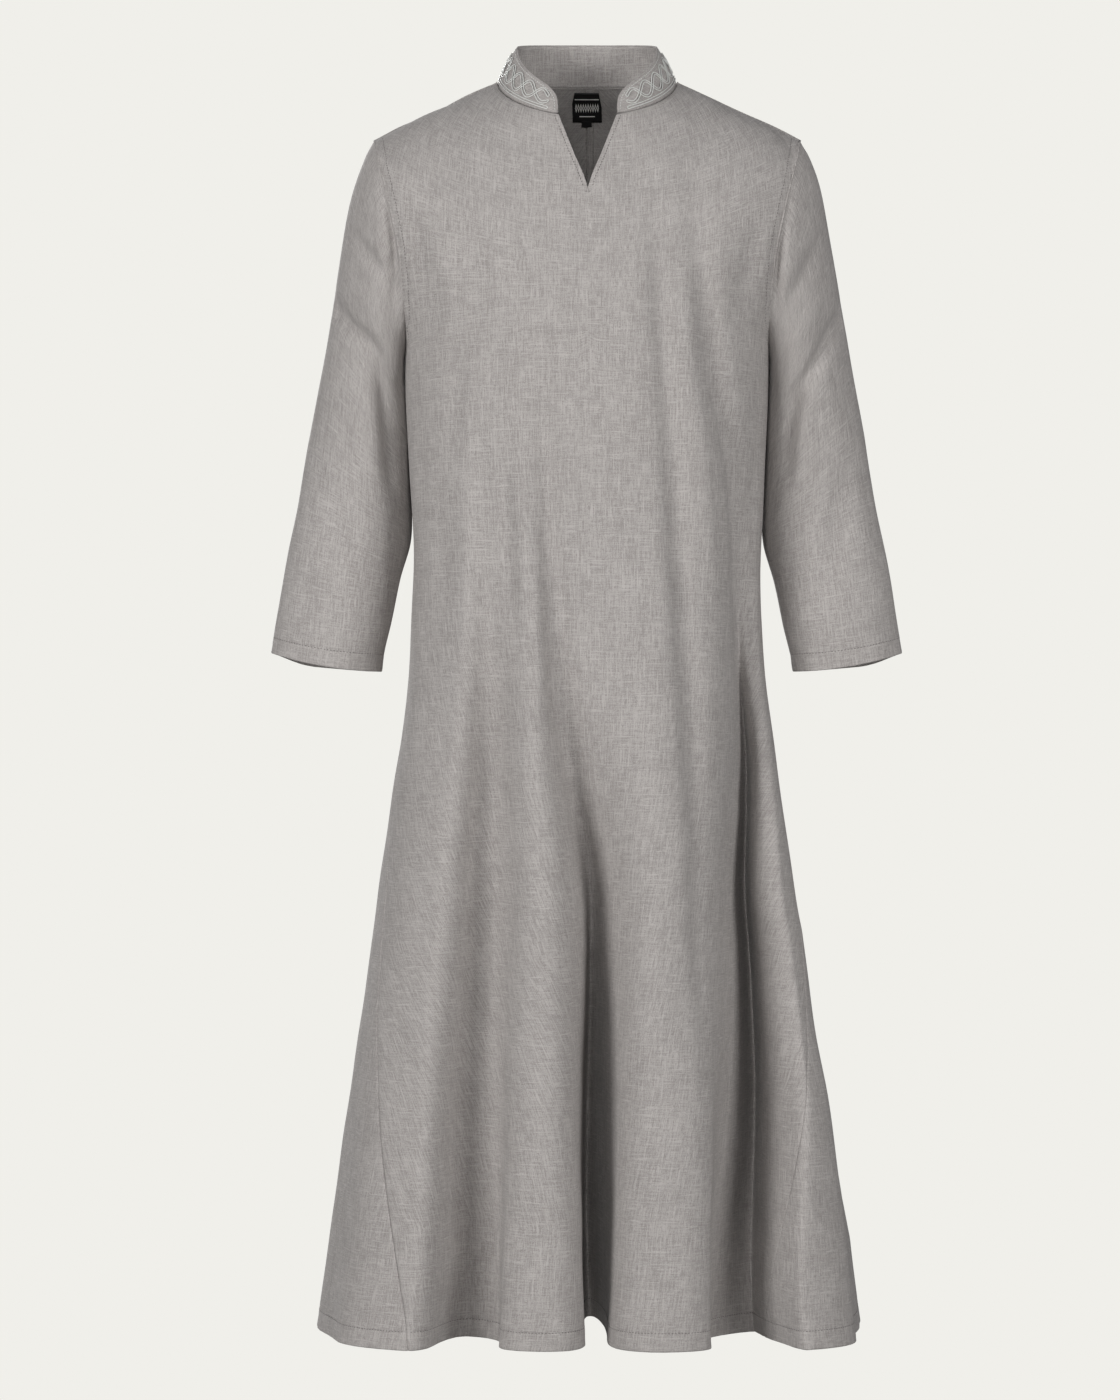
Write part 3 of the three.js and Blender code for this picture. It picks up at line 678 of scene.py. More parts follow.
# Each path's columns: the height, how far aside and how far back. The last groove is a narrow one
# along the floor of the one before it, in the same fold.
GROOVES = (
    Groove(4, 0.012, 0.016, ((-700, 0, 0), (-785, -2, 8), (-875, -5, 24), (-966, -7, 44),
                             (-1056, -8, 62), (-1146, -9, 72), (-1259, -9, 72), (-1340, -6, 54),
                             (-1404, -3, 36))),
    Groove(6, 0.019, 0.011, ((-560, 0, 0), (-640, 0, 12), (-700, 0, 26), (-785, 0, 42),
                             (-875, 0, 54), (-966, 0, 60), (-1146, 0, 62), (-1259, 0, 52),
                             (-1340, 0, 34), (-1404, 0, 18))),
    Groove(6, 0.006, 0.005, ((-640, 0, 0), (-700, 0, 5), (-785, 0, 14), (-875, 0, 26),
                             (-966, 0, 34), (-1146, 0, 36), (-1259, 0, 26), (-1340, 0, 12),
                             (-1404, 0, 3))),
)


RIPPLE_WAVES = 16
RIPPLE_RISE = 0.45


class Ripple:
    """The slight unevenness of linen that hangs, the same on both sides of a seam."""

    def __init__(self, seed: int, height: float, shortest: float, longest: float) -> None:
        """Draws the waves.

        Args:
            seed: The seed of the draw.
            height: How far the waves stand out in all, in millimetres.
            shortest: The shortest wave.
            longest: The longest wave.
        """
        draw = np.random.default_rng(seed)
        lengths = draw.uniform(shortest, longest, RIPPLE_WAVES)
        headings = draw.normal(size=(RIPPLE_WAVES, 3)) * (1.0, 1.0, RIPPLE_RISE)
        self.waves = unit(headings) * (2 * np.pi / lengths)[:, None]
        self.starts = draw.uniform(0, 2 * np.pi, RIPPLE_WAVES)
        self.height = height / math.sqrt(RIPPLE_WAVES)

    def lift(self, points: Array) -> Array:
        """Returns how far the waves raise each point, in millimetres."""
        return self.height * np.sin(points @ self.waves.T + self.starts).sum(axis=-1)


HANG = Ripple(seed=11, height=0.9, shortest=55, longest=170)
PUCKER = Ripple(seed=5, height=0.35, shortest=9, longest=22)


# ---------------------------------------------------------------- grids made into meshes
def put_in_scene(name: str, data: bpy.types.ID) -> bpy.types.Object:
    """Makes an object that holds a mesh, a light or a camera.

    Args:
        name: The object's name.
        data: What it holds.

    Returns:
        The object, linked to the scene.
    """
    made = bpy.data.objects.new(name, data)
    bpy.context.scene.collection.objects.link(made)
    return made


def sheet_mesh(name: str, grids: list[tuple[Array, Array]], closed: bool = False) -> bpy.types.Object:
    """Makes one mesh from grids of points, joined where they meet.

    Args:
        name: The piece's name.
        grids: For each grid its points in millimetres, top row first, and their flat places in
            metres for the weave.
        closed: Whether the grids close into solid shapes, as cords do.

    Returns:
        The piece's object, linked to the scene.
    """
    mesh = bpy.data.meshes.new(name)
    built = bmesh.new()
    for points, flat in grids:
        rows, columns = points.shape[:2]
        part = bmesh.new()
        bmesh.ops.create_grid(part, x_segments=columns - 1, y_segments=rows - 1, size=0.5)
        flat_layer = part.loops.layers.uv.new("flat")
        grid_spots = {}
        for corner in part.verts:
            c = round((corner.co.x + 0.5) * (columns - 1))
            r = round((0.5 - corner.co.y) * (rows - 1))
            grid_spots[corner.index] = (r, c)
        for corner in part.verts:
            corner.co = points[grid_spots[corner.index]] * MM
        for face in part.faces:
            face.smooth = True
            for loop in face.loops:
                loop[flat_layer].uv = flat[grid_spots[loop.vert.index]]
        part.to_mesh(mesh)
        part.free()
        built.from_mesh(mesh)
    bmesh.ops.remove_doubles(built, verts=built.verts, dist=2e-6)
    if closed:
        bmesh.ops.recalc_face_normals(built, faces=built.faces)
    built.to_mesh(mesh)
    built.free()
    return put_in_scene(name, mesh)


def turned_up(points: Array, rows: tuple[int, ...]) -> Array:
    """Folds the cloth's lowest rows up inside it, as a hem.

    Args:
        points: The grid down to its edge.
        rows: The rows that lie doubled inside, from the edge upwards.

    Returns:
        The grid, then the rows round the fold and the rows inside.
    """
    down = unit(points[-1] - points[-4])
    normals = unit(np.cross(down[None], np.gradient(points[list(rows)], axis=1)))
    fold = []
    for degrees in (45, 90, 135):
        turn = math.radians(degrees)
        inset, fall = TURN_UP_RADIUS * (1 - math.cos(turn)), TURN_UP_RADIUS * math.sin(turn)
        fold.append(points[-1] - normals[0] * inset + down * fall)
    return np.concatenate([points, fold, points[list(rows)] - normals * 2 * TURN_UP_RADIUS])


def thicken(piece: bpy.types.Object, thickness: float) -> None:
    """Gives a sheet its thickness, on its inner side.

    Args:
        piece: The sheet.
        thickness: The thickness in millimetres.
    """
    wall = piece.modifiers.new("layer", "SOLIDIFY")
    wall.thickness = thickness * MM
    wall.offset = -1
    wall.use_even_offset = False


def flat_places(points: Array, start: Array) -> Array:
    """Lays a grid of points flat for the weave.

    Args:
        points: A grid of points in millimetres, top row first.
        start: How far from the cloth's middle thread the first column lies, for each row.

    Returns:
        The places along the weft and the warp, in metres.
    """
    weft = run_along(points, 1) + start[:, None]
    warp = -run_along(points, 0).mean(axis=1)[:, None] + 0 * weft
    return np.stack([weft, warp], axis=-1) * MM


def edge_dip(points: Array, left: bool, right: bool) -> Array:
    """Finds how far the cloth dips into the seams at a grid's edges.

    Args:
        points: The grid's points in millimetres.
        left: Whether its first column is at a seam.
        right: Whether its last column is at one.

    Returns:
        The dips in millimetres.
    """
    run = run_along(points, 1)
    dip = np.zeros(run.shape)
    if left:
        dip += np.clip(1 - run / SEAM_REACH, 0, 1) ** 2
    if right:
        dip += np.clip(1 - (run[:, -1:] - run) / SEAM_REACH, 0, 1) ** 2
    return dip * SEAM_DIP


def seam_shares(count: int) -> Array:
    """Returns the columns of a panel, closer together along its two edges."""
    inner = np.linspace(FIRST_INNER_COLUMN, 1 - FIRST_INNER_COLUMN, count)
    return np.concatenate([SEAM_COLUMNS, inner, 1 - SEAM_COLUMNS[::-1]])


def spread_places(left: Array, right: Array, shares: Array) -> Array:
    """Spaces a panel's columns between its edges, closer together in the deep folds.

    Args:
        left: The left edge's place in each row.
        right: The right edge's place in each row.
        shares: The columns' shares of the width.

    Returns:
        A grid of places.
    """
    gaps = (PLACE_SAMPLES[:, None] - BODY.places[DENSE_FOLDS]) / DENSE_FOLD_WIDTHS
    runs = np.cumsum(1 + FOLD_DENSITY * np.exp(-(gaps**2)).sum(axis=1))
    start, end = np.interp(left, PLACE_SAMPLES, runs), np.interp(right, PLACE_SAMPLES, runs)
    places = np.interp(start + (end - start) * shares, runs, PLACE_SAMPLES)
    places[:, :1], places[:, -1:] = left, right
    return places


@dataclass(frozen=True)
class Line:
    """A line on the cloth, with the cloth's outward normal at each of its points."""

    points: Array
    normals: Array

    def spaced(self, pitch: float) -> "Line":
        """Spaces the line's points evenly.

        Args:
            pitch: About how far apart they are to be, in millimetres.

        Returns:
            The evened line.
        """
        runs = np.concatenate([[0], np.cumsum(np.linalg.norm(np.diff(self.points, axis=0), axis=1))])
        even = np.linspace(0, runs[-1], max(2, round(runs[-1] / pitch) + 1))
        points, normals = (np.stack([np.interp(even, runs, column) for column in values.T], axis=-1)
                           for values in (self.points, self.normals))
        return Line(points, unit(normals))

    def moved(self, inwards: Array, distance: float) -> "Line":
        """Returns the line moved along a direction at each point."""
        return Line(self.points + inwards * distance, self.normals)


def grid_normals(points: Array) -> Array:
    """Returns the outward normals of a sheet's grid."""
    return unit(np.cross(np.gradient(points, axis=0), np.gradient(points, axis=1)))


def inset_line(points: Array, distance: float, from_right: bool) -> Line:
    """Finds the line that lies at a distance from one edge of a sheet.

    Args:
        points: The sheet's grid.
        distance: The distance along each row, in millimetres.
        from_right: Whether the edge is the grid's last column, and not its first.

    Returns:
        One point for each row.
    """
    normals = grid_normals(points)
    if from_right:
        points, normals = points[:, ::-1], normals[:, ::-1]
    runs = run_along(points, 1)
    found = [[np.interp(distance, run, column) for column in (*spots.T, *ways.T)]
             for run, spots, ways in zip(runs, points, normals)]
    found = np.array(found)
    return Line(found[:, :3], unit(found[:, 3:]))


class Skin:
    """The outer side of the finished panels, on which sewing is laid."""

    def __init__(self, *pieces: bpy.types.Object) -> None:
        """Gathers the panels' faces.

        Args:
            pieces: The panels.
        """
        built = bmesh.new()
        for piece in pieces:
            built.from_mesh(piece.data)
        self.tree = BVHTree.FromBMesh(built)
        built.free()

    def settle(self, spots: Array) -> Line:
        """Returns the nearest points of the cloth, with its normals there."""
        found = [self.tree.find_nearest(Vector(spot * MM)) for spot in spots]
        return Line(np.array([hit[0] for hit in found]) / MM, np.array([hit[1] for hit in found]))


@dataclass(frozen=True)
class Cord:
    """A round cord or folded edge of one thickness, closed at both ends."""

    radius: float
    sides: int = 8

    def grid(self, line: Line) -> tuple[Array, Array]:
        """Lays the cord along a line.

        Args:
            line: The middle of the cord.

        Returns:
            The cord's grid of points and its flat places.
        """
        along = unit(np.gradient(line.points, axis=0))
        side = unit(np.cross(line.normals, along))
        turn = np.linspace(0, 2 * np.pi, self.sides + 1)[None, :, None]
        ring = side[:, None] * np.cos(turn) + np.cross(along, side)[:, None] * np.sin(turn)
        middle = line.points[:, None]
        points = middle + ring * self.radius
        points = np.concatenate([middle[:1] + 0 * ring[:1], points, middle[-1:] + 0 * ring[-1:]])
        flat = np.stack([run_along(points, 1), run_along(points, 0)], axis=-1) * MM
        return points, flat


@dataclass(frozen=True)
class Stitching:
    """Lines of short stitches sunk halfway into the cloth."""

    pitch: float = 3.7
    length: float = 2.9
    width: float = 1.0

    def build(self, name: str, lines: list[Line], thread: bpy.types.Material) -> bpy.types.Object:
        """Sews the lines.

        Args:
            name: The piece's name.
            lines: The lines to sew.
            thread: The thread's finish.

        Returns:
            The object that holds all the stitches.
        """
        built = bmesh.new()
        for line in lines:
            even = line.spaced(self.pitch)
            middles = (even.points[1:] + even.points[:-1]) / 2
            along = unit(np.diff(even.points, axis=0))
            side = unit(np.cross(even.normals[1:], along))
            up = np.cross(along, side)
            halves = (along * self.length / 2, side * self.width / 2, up * self.width / 2)
            for stitch in zip(*halves, middles):
                place = np.eye(4)
                place[:3] = np.array(stitch).T * MM
                bmesh.ops.create_icosphere(built, subdivisions=1, radius=1, matrix=Matrix(place))
        for face in built.faces:
            face.smooth = True
        mesh = bpy.data.meshes.new(name)
        built.to_mesh(mesh)
        built.free()
        piece = put_in_scene(name, mesh)
        wear(piece, thread, "linen")
        return piece


YOKE_LEVELS = np.concatenate([[0, 0.008, 0.018, 0.032], np.linspace(0.05, 1, 24)])
CHEST_LEVELS = np.linspace(1, 2, 40)[1:]

# How far the hem's rows lie above its edge.
HEM_RISES = np.array([24, 21, HEM_DEPTH + 0.9, HEM_DEPTH, HEM_DEPTH - 0.9, 16, 11, 6, 2.5, 0.8, 0])
HEM_STITCH_ROW = -8
HEM_TURN_UP_ROWS = (-2, -4, -5, -6, -8)
SKIRT_DROPS = np.concatenate([np.linspace(ARMHOLE_BOTTOM, LENGTH - 28, 158)[1:], LENGTH - HEM_RISES])


@dataclass(frozen=True)
class GoreSeam:
    """A seam that runs from the side at the gore's point to a place at the hem."""

    side: float
    at_hem: float

    def place(self, level: Array) -> Array:
        """Finds the seam's place, which above the gore's point is the side seam's.

        Args:
            level: Levels down the cloth.

        Returns:
            The places.
        """
        drop = np.where(level < 2, 0, drop_of(level))
        share = np.clip((drop - GORE_TOP) / (LENGTH - GORE_TOP), 0, 1)
        return self.side + (self.at_hem - self.side) * share**GORE_SPREAD


def between_folds(i: int, share: float) -> float:
    """Returns a place between fold i and the next."""
    return float(BODY.places[i] + (BODY.places[i + 1] - BODY.places[i]) * share)


LEFT_FRONT_SEAM = GoreSeam(0.0, between_folds(1, 0.06))
RIGHT_FRONT_SEAM = GoreSeam(BODY.side_right, between_folds(6, 0.25))
RIGHT_BACK_SEAM = GoreSeam(BODY.side_right, between_folds(9, 0.3))
LEFT_BACK_SEAM = GoreSeam(1.0, between_folds(14, 0.8))
LEFT_FRONT_SEAM_AGAIN = GoreSeam(1.0, 1 + between_folds(1, 0.06))


@dataclass
class PanelGrid:
    """One grid of a body panel between two edges."""

    cut: Cut
    left: Callable[[Array], Array]
    right: Callable[[Array], Array]
    left_seam: bool
    right_seam: bool
    columns: int
    drops_from: float = 0.0
    first_step: float = 3.0
    relax_passes: int = 60
    relax_rate: float = 0.9
    relax_chest: float = 0.16
    relax_yoke: float = 0.3
    relax_edge: float = 0.05

    def levels(self) -> Array:
        """Returns the panel's rows."""
        below = level_of(SKIRT_DROPS)
        if self.drops_from > 0:
            kept = below[SKIRT_DROPS > self.drops_from + self.first_step]
            return np.concatenate([[level_of(self.drops_from)], kept])
        return np.concatenate([YOKE_LEVELS, CHEST_LEVELS, below])

    @cached_property
    def outside(self) -> Array:
        """The grid's points down to the edge of the hem, creased and dipped into its seams."""
        levels = self.levels()
        shares = seam_shares(self.columns)
        places = spread_places(self.left(levels)[:, None], self.right(levels)[:, None], shares)
        grid = levels[:, None] + 0 * places
        points = BODY.point(places, grid, self.cut)
        normals = BODY.normal(places, grid, self.cut)
        points = self.relax(points, levels, shares)
        lift = sum(crease.lift(points) for crease in BODY_CREASES)
        on_armhole = (grid > 1) & (grid < 2)
        run = run_along(points, 1)
        inset = np.minimum(run, run[:, -1:] - run)
        calm = np.where(on_armhole, ease(inset / ARMHOLE_CALM), 1.0) * ease(grid / NECK_CALM_LEVEL)
        hem = np.exp(-(((LENGTH - drop_of(grid) - HEM_DEPTH / 2) / HEM_PUCKER_WIDTH) ** 2))
        lift = (lift + HANG.lift(points)) * calm + PUCKER.lift(points) * hem
        stitch_line = LENGTH - drop_of(grid) - HEM_DEPTH
        lift -= STITCH_SINK * np.exp(-((stitch_line / STITCH_SINK_WIDTH) ** 2))
        lift -= edge_dip(points, self.left_seam, self.right_seam)
        lift -= SEAM_DIP * np.clip(1 - grid / NECK_DIP_LEVEL, 0, 1) ** 2
        points = points + normals * lift[..., None]
        return points + sum(groove.shift(places, points) for groove in GROOVES)

    def points(self) -> Array:
        """Returns the whole grid, with its lowest rows turned up inside."""
        return turned_up(self.outside, HEM_TURN_UP_ROWS)

    def relax(self, points: Array, levels: Array, shares: Array) -> Array:
        """Evens the run of the cloth where the yoke turns into the chest, and that into the skirt.

        Args:
            points: The grid's points.
            levels: The levels of its rows.
            shares: The columns' shares of the width.

        Returns:
            The evened points.
        """
        chest = ease(1 - np.abs(levels - 2) / self.relax_chest)
        near = (chest + ease(1 - np.abs(levels - 1) / self.relax_yoke))[:, None, None]
        inner = ease(shares / self.relax_edge) * ease((1 - shares) / self.relax_edge)
        inner = inner[None, :, None]
        for _ in range(self.relax_passes):
            middle = points.copy()
            middle[1:-1] = (points[:-2] + points[2:]) / 2
            points = points + (middle - points) * near * inner * self.relax_rate
        return points

    def flat(self, points: Array) -> Array:
        """Lays the grid flat, measured from the cloth's middle thread.

        Args:
            points: The grid's points in millimetres.

        Returns:
            The flat places in metres.
        """
        if self.cut is Cut.FRONT_LEFT:
            start = -run_along(points, 1)[:, -1] + points[:, -1, 0]
        elif self.cut is Cut.FRONT_RIGHT:
            start = points[:, 0, 0]
        else:
            start = -run_along(points, 1)[:, -1] / 2
        return flat_places(points, start)


@dataclass
class BodyPanel:
    """A cut piece of the body, made of one grid or of two halves."""

    name: str
    grids: list[PanelGrid]
    flat_size: tuple[float, float]
    flat_area: float

    def build(self, cloth: bpy.types.Material) -> bpy.types.Object:
        """Makes the panel.

        Args:
            cloth: The linen.

        Returns:
            The panel's object.
        """
        parts = []
        for grid in self.grids:
            points = grid.points()
            parts.append((points, grid.flat(points)))
        piece = sheet_mesh(f"{self.name}_panel", parts)
        thicken(piece, LAYER)
        wear(piece, cloth, "linen", self.name)
        return piece


def wear(piece: bpy.types.Object, finish: bpy.types.Material, slot: str, *nodes: str) -> None:
    """Gives a piece its finish and puts it on the tunic's body.

    Args:
        piece: The piece.
        finish: Its finish.
        slot: The record's material slot; it is not used.
        nodes: The frame's nodes that the piece stands for, if any.
    """
    piece.data.materials.append(finish)
    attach(piece, "root")
    if nodes:
        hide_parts(*nodes)
    log.info("%s: %d faces", piece.name, len(piece.data.polygons))


def constant(place: float) -> Callable[[Array], Array]:
    """Returns an edge that keeps one place at every level."""
    return lambda levels: np.full(levels.shape, place)


PANELS = (
    BodyPanel("front", [
        PanelGrid(Cut.FRONT_LEFT, LEFT_FRONT_SEAM.place, constant(BODY.front_middle), True, False, 92),
        PanelGrid(Cut.FRONT_RIGHT, constant(BODY.front_middle), RIGHT_FRONT_SEAM.place, False, True, 92),
    ], (0.95, 1.38), 0.96),
    BodyPanel("back_right", [
        PanelGrid(Cut.UNSLIT, RIGHT_BACK_SEAM.place, constant(BODY.back_middle), True, True, 80),
    ], (0.52, 1.42), 0.45),
    BodyPanel("back_left", [
        PanelGrid(Cut.UNSLIT, constant(BODY.back_middle), LEFT_BACK_SEAM.place, True, True, 80),
    ], (0.52, 1.42), 0.42),
    BodyPanel("gore_right", [
        PanelGrid(Cut.UNSLIT, RIGHT_FRONT_SEAM.place, RIGHT_BACK_SEAM.place, True, True, 60, GORE_TOP),
    ], (0.5, 0.72), 0.175),
    BodyPanel("gore_left", [
        PanelGrid(Cut.UNSLIT, LEFT_BACK_SEAM.place, LEFT_FRONT_SEAM_AGAIN.place, True, True, 60,
                  GORE_TOP),
    ], (0.5, 0.72), 0.175),
)


# ---------------------------------------------------------------- sleeves
class Hand(Enum):
    """The side of the tunic, as the sign of X there."""

    LEFT = -1
    RIGHT = 1


@dataclass
class Sleeve:
    """A set-in sleeve: a tube from the armhole to the cuff, joined along its underside."""

    hand: Hand
    columns: int = 104
    flat_size: tuple[float, float] = (0.52, 0.62)
    flat_area: float = 0.196

    @staticmethod
    def size(section: Array, name: str) -> Array:
        """Returns a size of the sleeve's sections."""
        return SLEEVE.at("along", section, name)

    def surface(self, turn: Array, section: Array) -> Array:
        """Returns points of the right sleeve.

        Args:
            turn: 0 outside, 0.25 in front, 0.5 inside and 0.75 behind.
            section: Along the sleeve, 0 at the armhole and 10 at the cuff's edge.

        Returns:
            The points in millimetres.
        """
        turn, section = np.broadcast_arrays(turn, section)
        angle = 2 * np.pi * turn
        points = self.section_point(angle, section)
        folded = turn - np.floor(turn)
        front = BODY.armhole_point(np.clip(2 * folded, 0, 1), -1)
        back = BODY.armhole_point(np.clip(2 - 2 * folded, 0, 1), 1)
        hole = np.where((folded <= 0.5)[..., None], front, back)
        fade = ease(1 - section / ARMHOLE_BLEND)[..., None]
        points = points + (hole - self.section_point(angle, np.zeros(section.shape))) * fade
        sag = CUFF_SAG * np.exp(-(((folded - CUFF_SAG_TURN) / CUFF_SAG_WIDTH) ** 2))
        points[..., 2] -= CUFF_DIP * np.sin(angle) ** 2 * (section / 10) ** 4 + sag * (section / 10) ** 6
        return points

    def section_point(self, angle: Array, section: Array) -> Array:
        """Finds points of the sleeve's plain sections.

        Args:
            angle: The turn round the section, in radians.
            section: Along the sleeve, 0 at the armhole and 10 at the cuff's edge.

        Returns:
            The points in millimetres.
        """
        share = (1 - np.cos(angle)) / 2
        front, back = self.size(section, "front"), self.size(section, "back")
        reach = np.where(np.sin(angle) > 0, front, back)
        outer, inner = self.size(section, "outer"), self.size(section, "inner")
        outer_drop, inner_drop = self.size(section, "outer_drop"), self.size(section, "inner_drop")
        x = outer + (inner - outer) * share
        y = self.size(section, "middle") - reach * np.sin(angle)
        return np.stack([x, y, -outer_drop - (inner_drop - outer_drop) * share], axis=-1)

    def sections(self) -> Array:
        """Returns the rows of the sleeve, close together at the armhole and the cuff's stitching."""
        hem = 10 - np.array([0.36, 0.31, 0.285, 0.27, 0.255, 0.2, 0.12, 0.05, 0.015, 0])
        return np.concatenate([[0, 0.03, 0.07, 0.12], np.linspace(0.2, 9.55, 104), hem])

    @cached_property
    def outside(self) -> Array:
        """The sleeve's grid down to the cuff's edge, from the seam under the arm round to itself."""
        section = self.sections()[:, None]
        turn = np.linspace(0.5, 1.5, self.columns + 1)[None, :]
        step = 1e-3
        points = self.surface(turn, section)
        round_step = self.surface(turn + step, section) - self.surface(turn - step, section)
        low, high = np.maximum(section - 0.02, 0), np.minimum(section + 0.02, 10)
        down_step = self.surface(turn, high) - self.surface(turn, low)
        normals = unit(np.cross(round_step, down_step))
        points[..., 0] *= self.hand.value
        normals[..., 0] *= self.hand.value
        lift = sum(crease.lift(points) for crease in SLEEVE_CREASES) + HANG.lift(points)
        lift = lift * ease(section / SLEEVE_HEAD_CALM)
        pucker = np.exp(-(((section - CUFF_PUCKER_SECTION) / CUFF_PUCKER_WIDTH) ** 2))
        lift += PUCKER.lift(points) * pucker
        lift -= STITCH_SINK * np.exp(-(((section - CUFF_STITCH_SECTION) / CUFF_STITCH_WIDTH) ** 2))
        lift -= SEAM_DIP * np.clip(1 - section / SLEEVE_HEAD_DIP, 0, 1) ** 2
        seam_gap = np.minimum(np.abs(turn - 0.5), np.abs(turn - 1.5))
        lift -= SEAM_DIP * np.exp(-((seam_gap / SLEEVE_SEAM_WIDTH) ** 2))
        points = points + normals * lift[..., None]
        return points[:, ::-1] if self.hand is Hand.RIGHT else points

    def build(self, cloth: bpy.types.Material) -> bpy.types.Object:
        """Makes the sleeve.

        Args:
            cloth: The linen.

        Returns:
            The sleeve's object.
        """
        name = f"sleeve_{self.hand.name.lower()}"
        points = turned_up(self.outside, CUFF_TURN_UP_ROWS)
        flat = flat_places(points, -run_along(points, 1)[:, -1] / 2)
        piece = sheet_mesh(f"{name}_panel", [(points, flat)])
        thicken(piece, LAYER)
        wear(piece, cloth, "linen", name)
        return piece


# ---------------------------------------------------------------- collar
@dataclass
class Collar:
    """A band of two layers that stands on the neckline, low in front and high behind."""

    columns: int = 150
    rows: int = 14
    thickness: float = 1.5
    flat_size: tuple[float, float] = (0.5, 0.05)
    flat_area: float = 0.0207
    pucker: float = 0.8
    foot_dip: float = 0.08
    edge_from: float = 0.12

    @staticmethod
    def surface(degrees: Array, height: Array) -> Array:
        """Returns points of the collar.

        Args:
            degrees: Angles from the centre front, up to 360.
            height: 0 at the neck seam and 1 at the top edge.

        Returns:
            The points in millimetres.
        """
        degrees, height = np.broadcast_arrays(degrees, height)
        turned = np.where(degrees > 180, degrees - 360, degrees)
        front = BODY.upper_point(turned, np.zeros(turned.shape), -1)
        back = BODY.upper_point(turned, np.zeros(turned.shape), 1)
        base = np.where((np.abs(turned) > 90)[..., None], back, front)
        tall = COLLAR.at("angle", np.abs(turned), "height")
        full_lean = COLLAR.at("angle", np.abs(turned), "lean")
        inward = -unit(base * (1, 1, 0))
        lean = full_lean * height - COLLAR_FULLNESS * np.sin(np.pi * height)
        points = base + inward * lean[..., None]
        points[..., 2] += np.sqrt(tall**2 - full_lean**2) * height
        return points

    def normals(self, degrees: Array, height: Array) -> Array:
        """Finds the collar's outward normals.

        Args:
            degrees: Angles from the centre front.
            height: 0 at the neck seam and 1 at the top edge.

        Returns:
            The normals, of length 1.
        """
        low, high = np.clip(height - 0.01, 0, 1), np.clip(height + 0.01, 0, 1)
        across = self.surface(degrees + 1, height) - self.surface(degrees - 1, height)
        up = self.surface(degrees, high) - self.surface(degrees, low)
        return unit(np.cross(across, up))

    def angles(self) -> Array:
        """Returns the collar's columns, from one front edge round the back to the other."""
        start = float(BODY.slit_angle(np.array(0.0)))
        share = np.linspace(0, 1, self.columns + 1)
        gathered = share - COLLAR_END_SPREAD * np.sin(2 * np.pi * share) / (2 * np.pi)
        return start + (360 - 2 * start) * gathered

    def build(self, cloth: bpy.types.Material) -> bpy.types.Object:
        """Makes the collar.

        Args:
            cloth: The linen.

        Returns:
            The collar's object.
        """
        degrees = self.angles()[None, :]
        height = np.linspace(1, 0, self.rows + 1)[:, None]
        points = self.surface(degrees, height)
        normals = self.normals(degrees, height)
        dip = SEAM_DIP * np.clip(1 - height / self.foot_dip, 0, 1) ** 2
        lift = PUCKER.lift(points) * self.pucker - dip
        points = points + normals * lift[..., None]
        flat = flat_places(points, -run_along(points, 1)[:, -1] / 2)
        piece = sheet_mesh("collar_band", [(points, flat)])
        thicken(piece, self.thickness)
        wear(piece, cloth, "linen", "collar")
        return piece

    def line(self, degrees: Array, height: Array, out: Array) -> Line:
        """Returns a line on the collar's outer side.

        Args:
            degrees: Angles from the centre front.
            height: 0 at the neck seam and 1 at the top edge.
            out: How far the line stands off the cloth, in millimetres.

        Returns:
            The line.
        """
        degrees, height, out = np.broadcast_arrays(degrees, height, out)
        normals = self.normals(degrees, height)
        return Line(self.surface(degrees, height) + normals * out[..., None], normals)

    def edge(self, inset: float, out: float) -> Line:
        """Returns the line that follows the collar's front and top edges at a distance.

        Args:
            inset: The distance from the edges, in millimetres.
            out: How far the line stands off the cloth.

        Returns:
            The line, from one front end up and round to the other.
        """
        angles = self.angles()
        rise = COLLAR.at("angle", 180 - np.abs(angles - 180), "height")
        girth = np.radians(angles) * NECK_HALF_WIDTH
        slope = np.gradient(rise) / np.gradient(girth)
        steep = np.sqrt(1 + slope**2)
        girth, top = girth + inset * slope / steep, rise - inset / steep
        kept = top > self.edge_from * rise
        degrees = np.degrees(girth / NECK_HALF_WIDTH)[kept]
        tall = COLLAR.at("angle", 180 - np.abs(degrees - 180), "height")
        return self.line(degrees, top[kept] / tall, np.array(out))


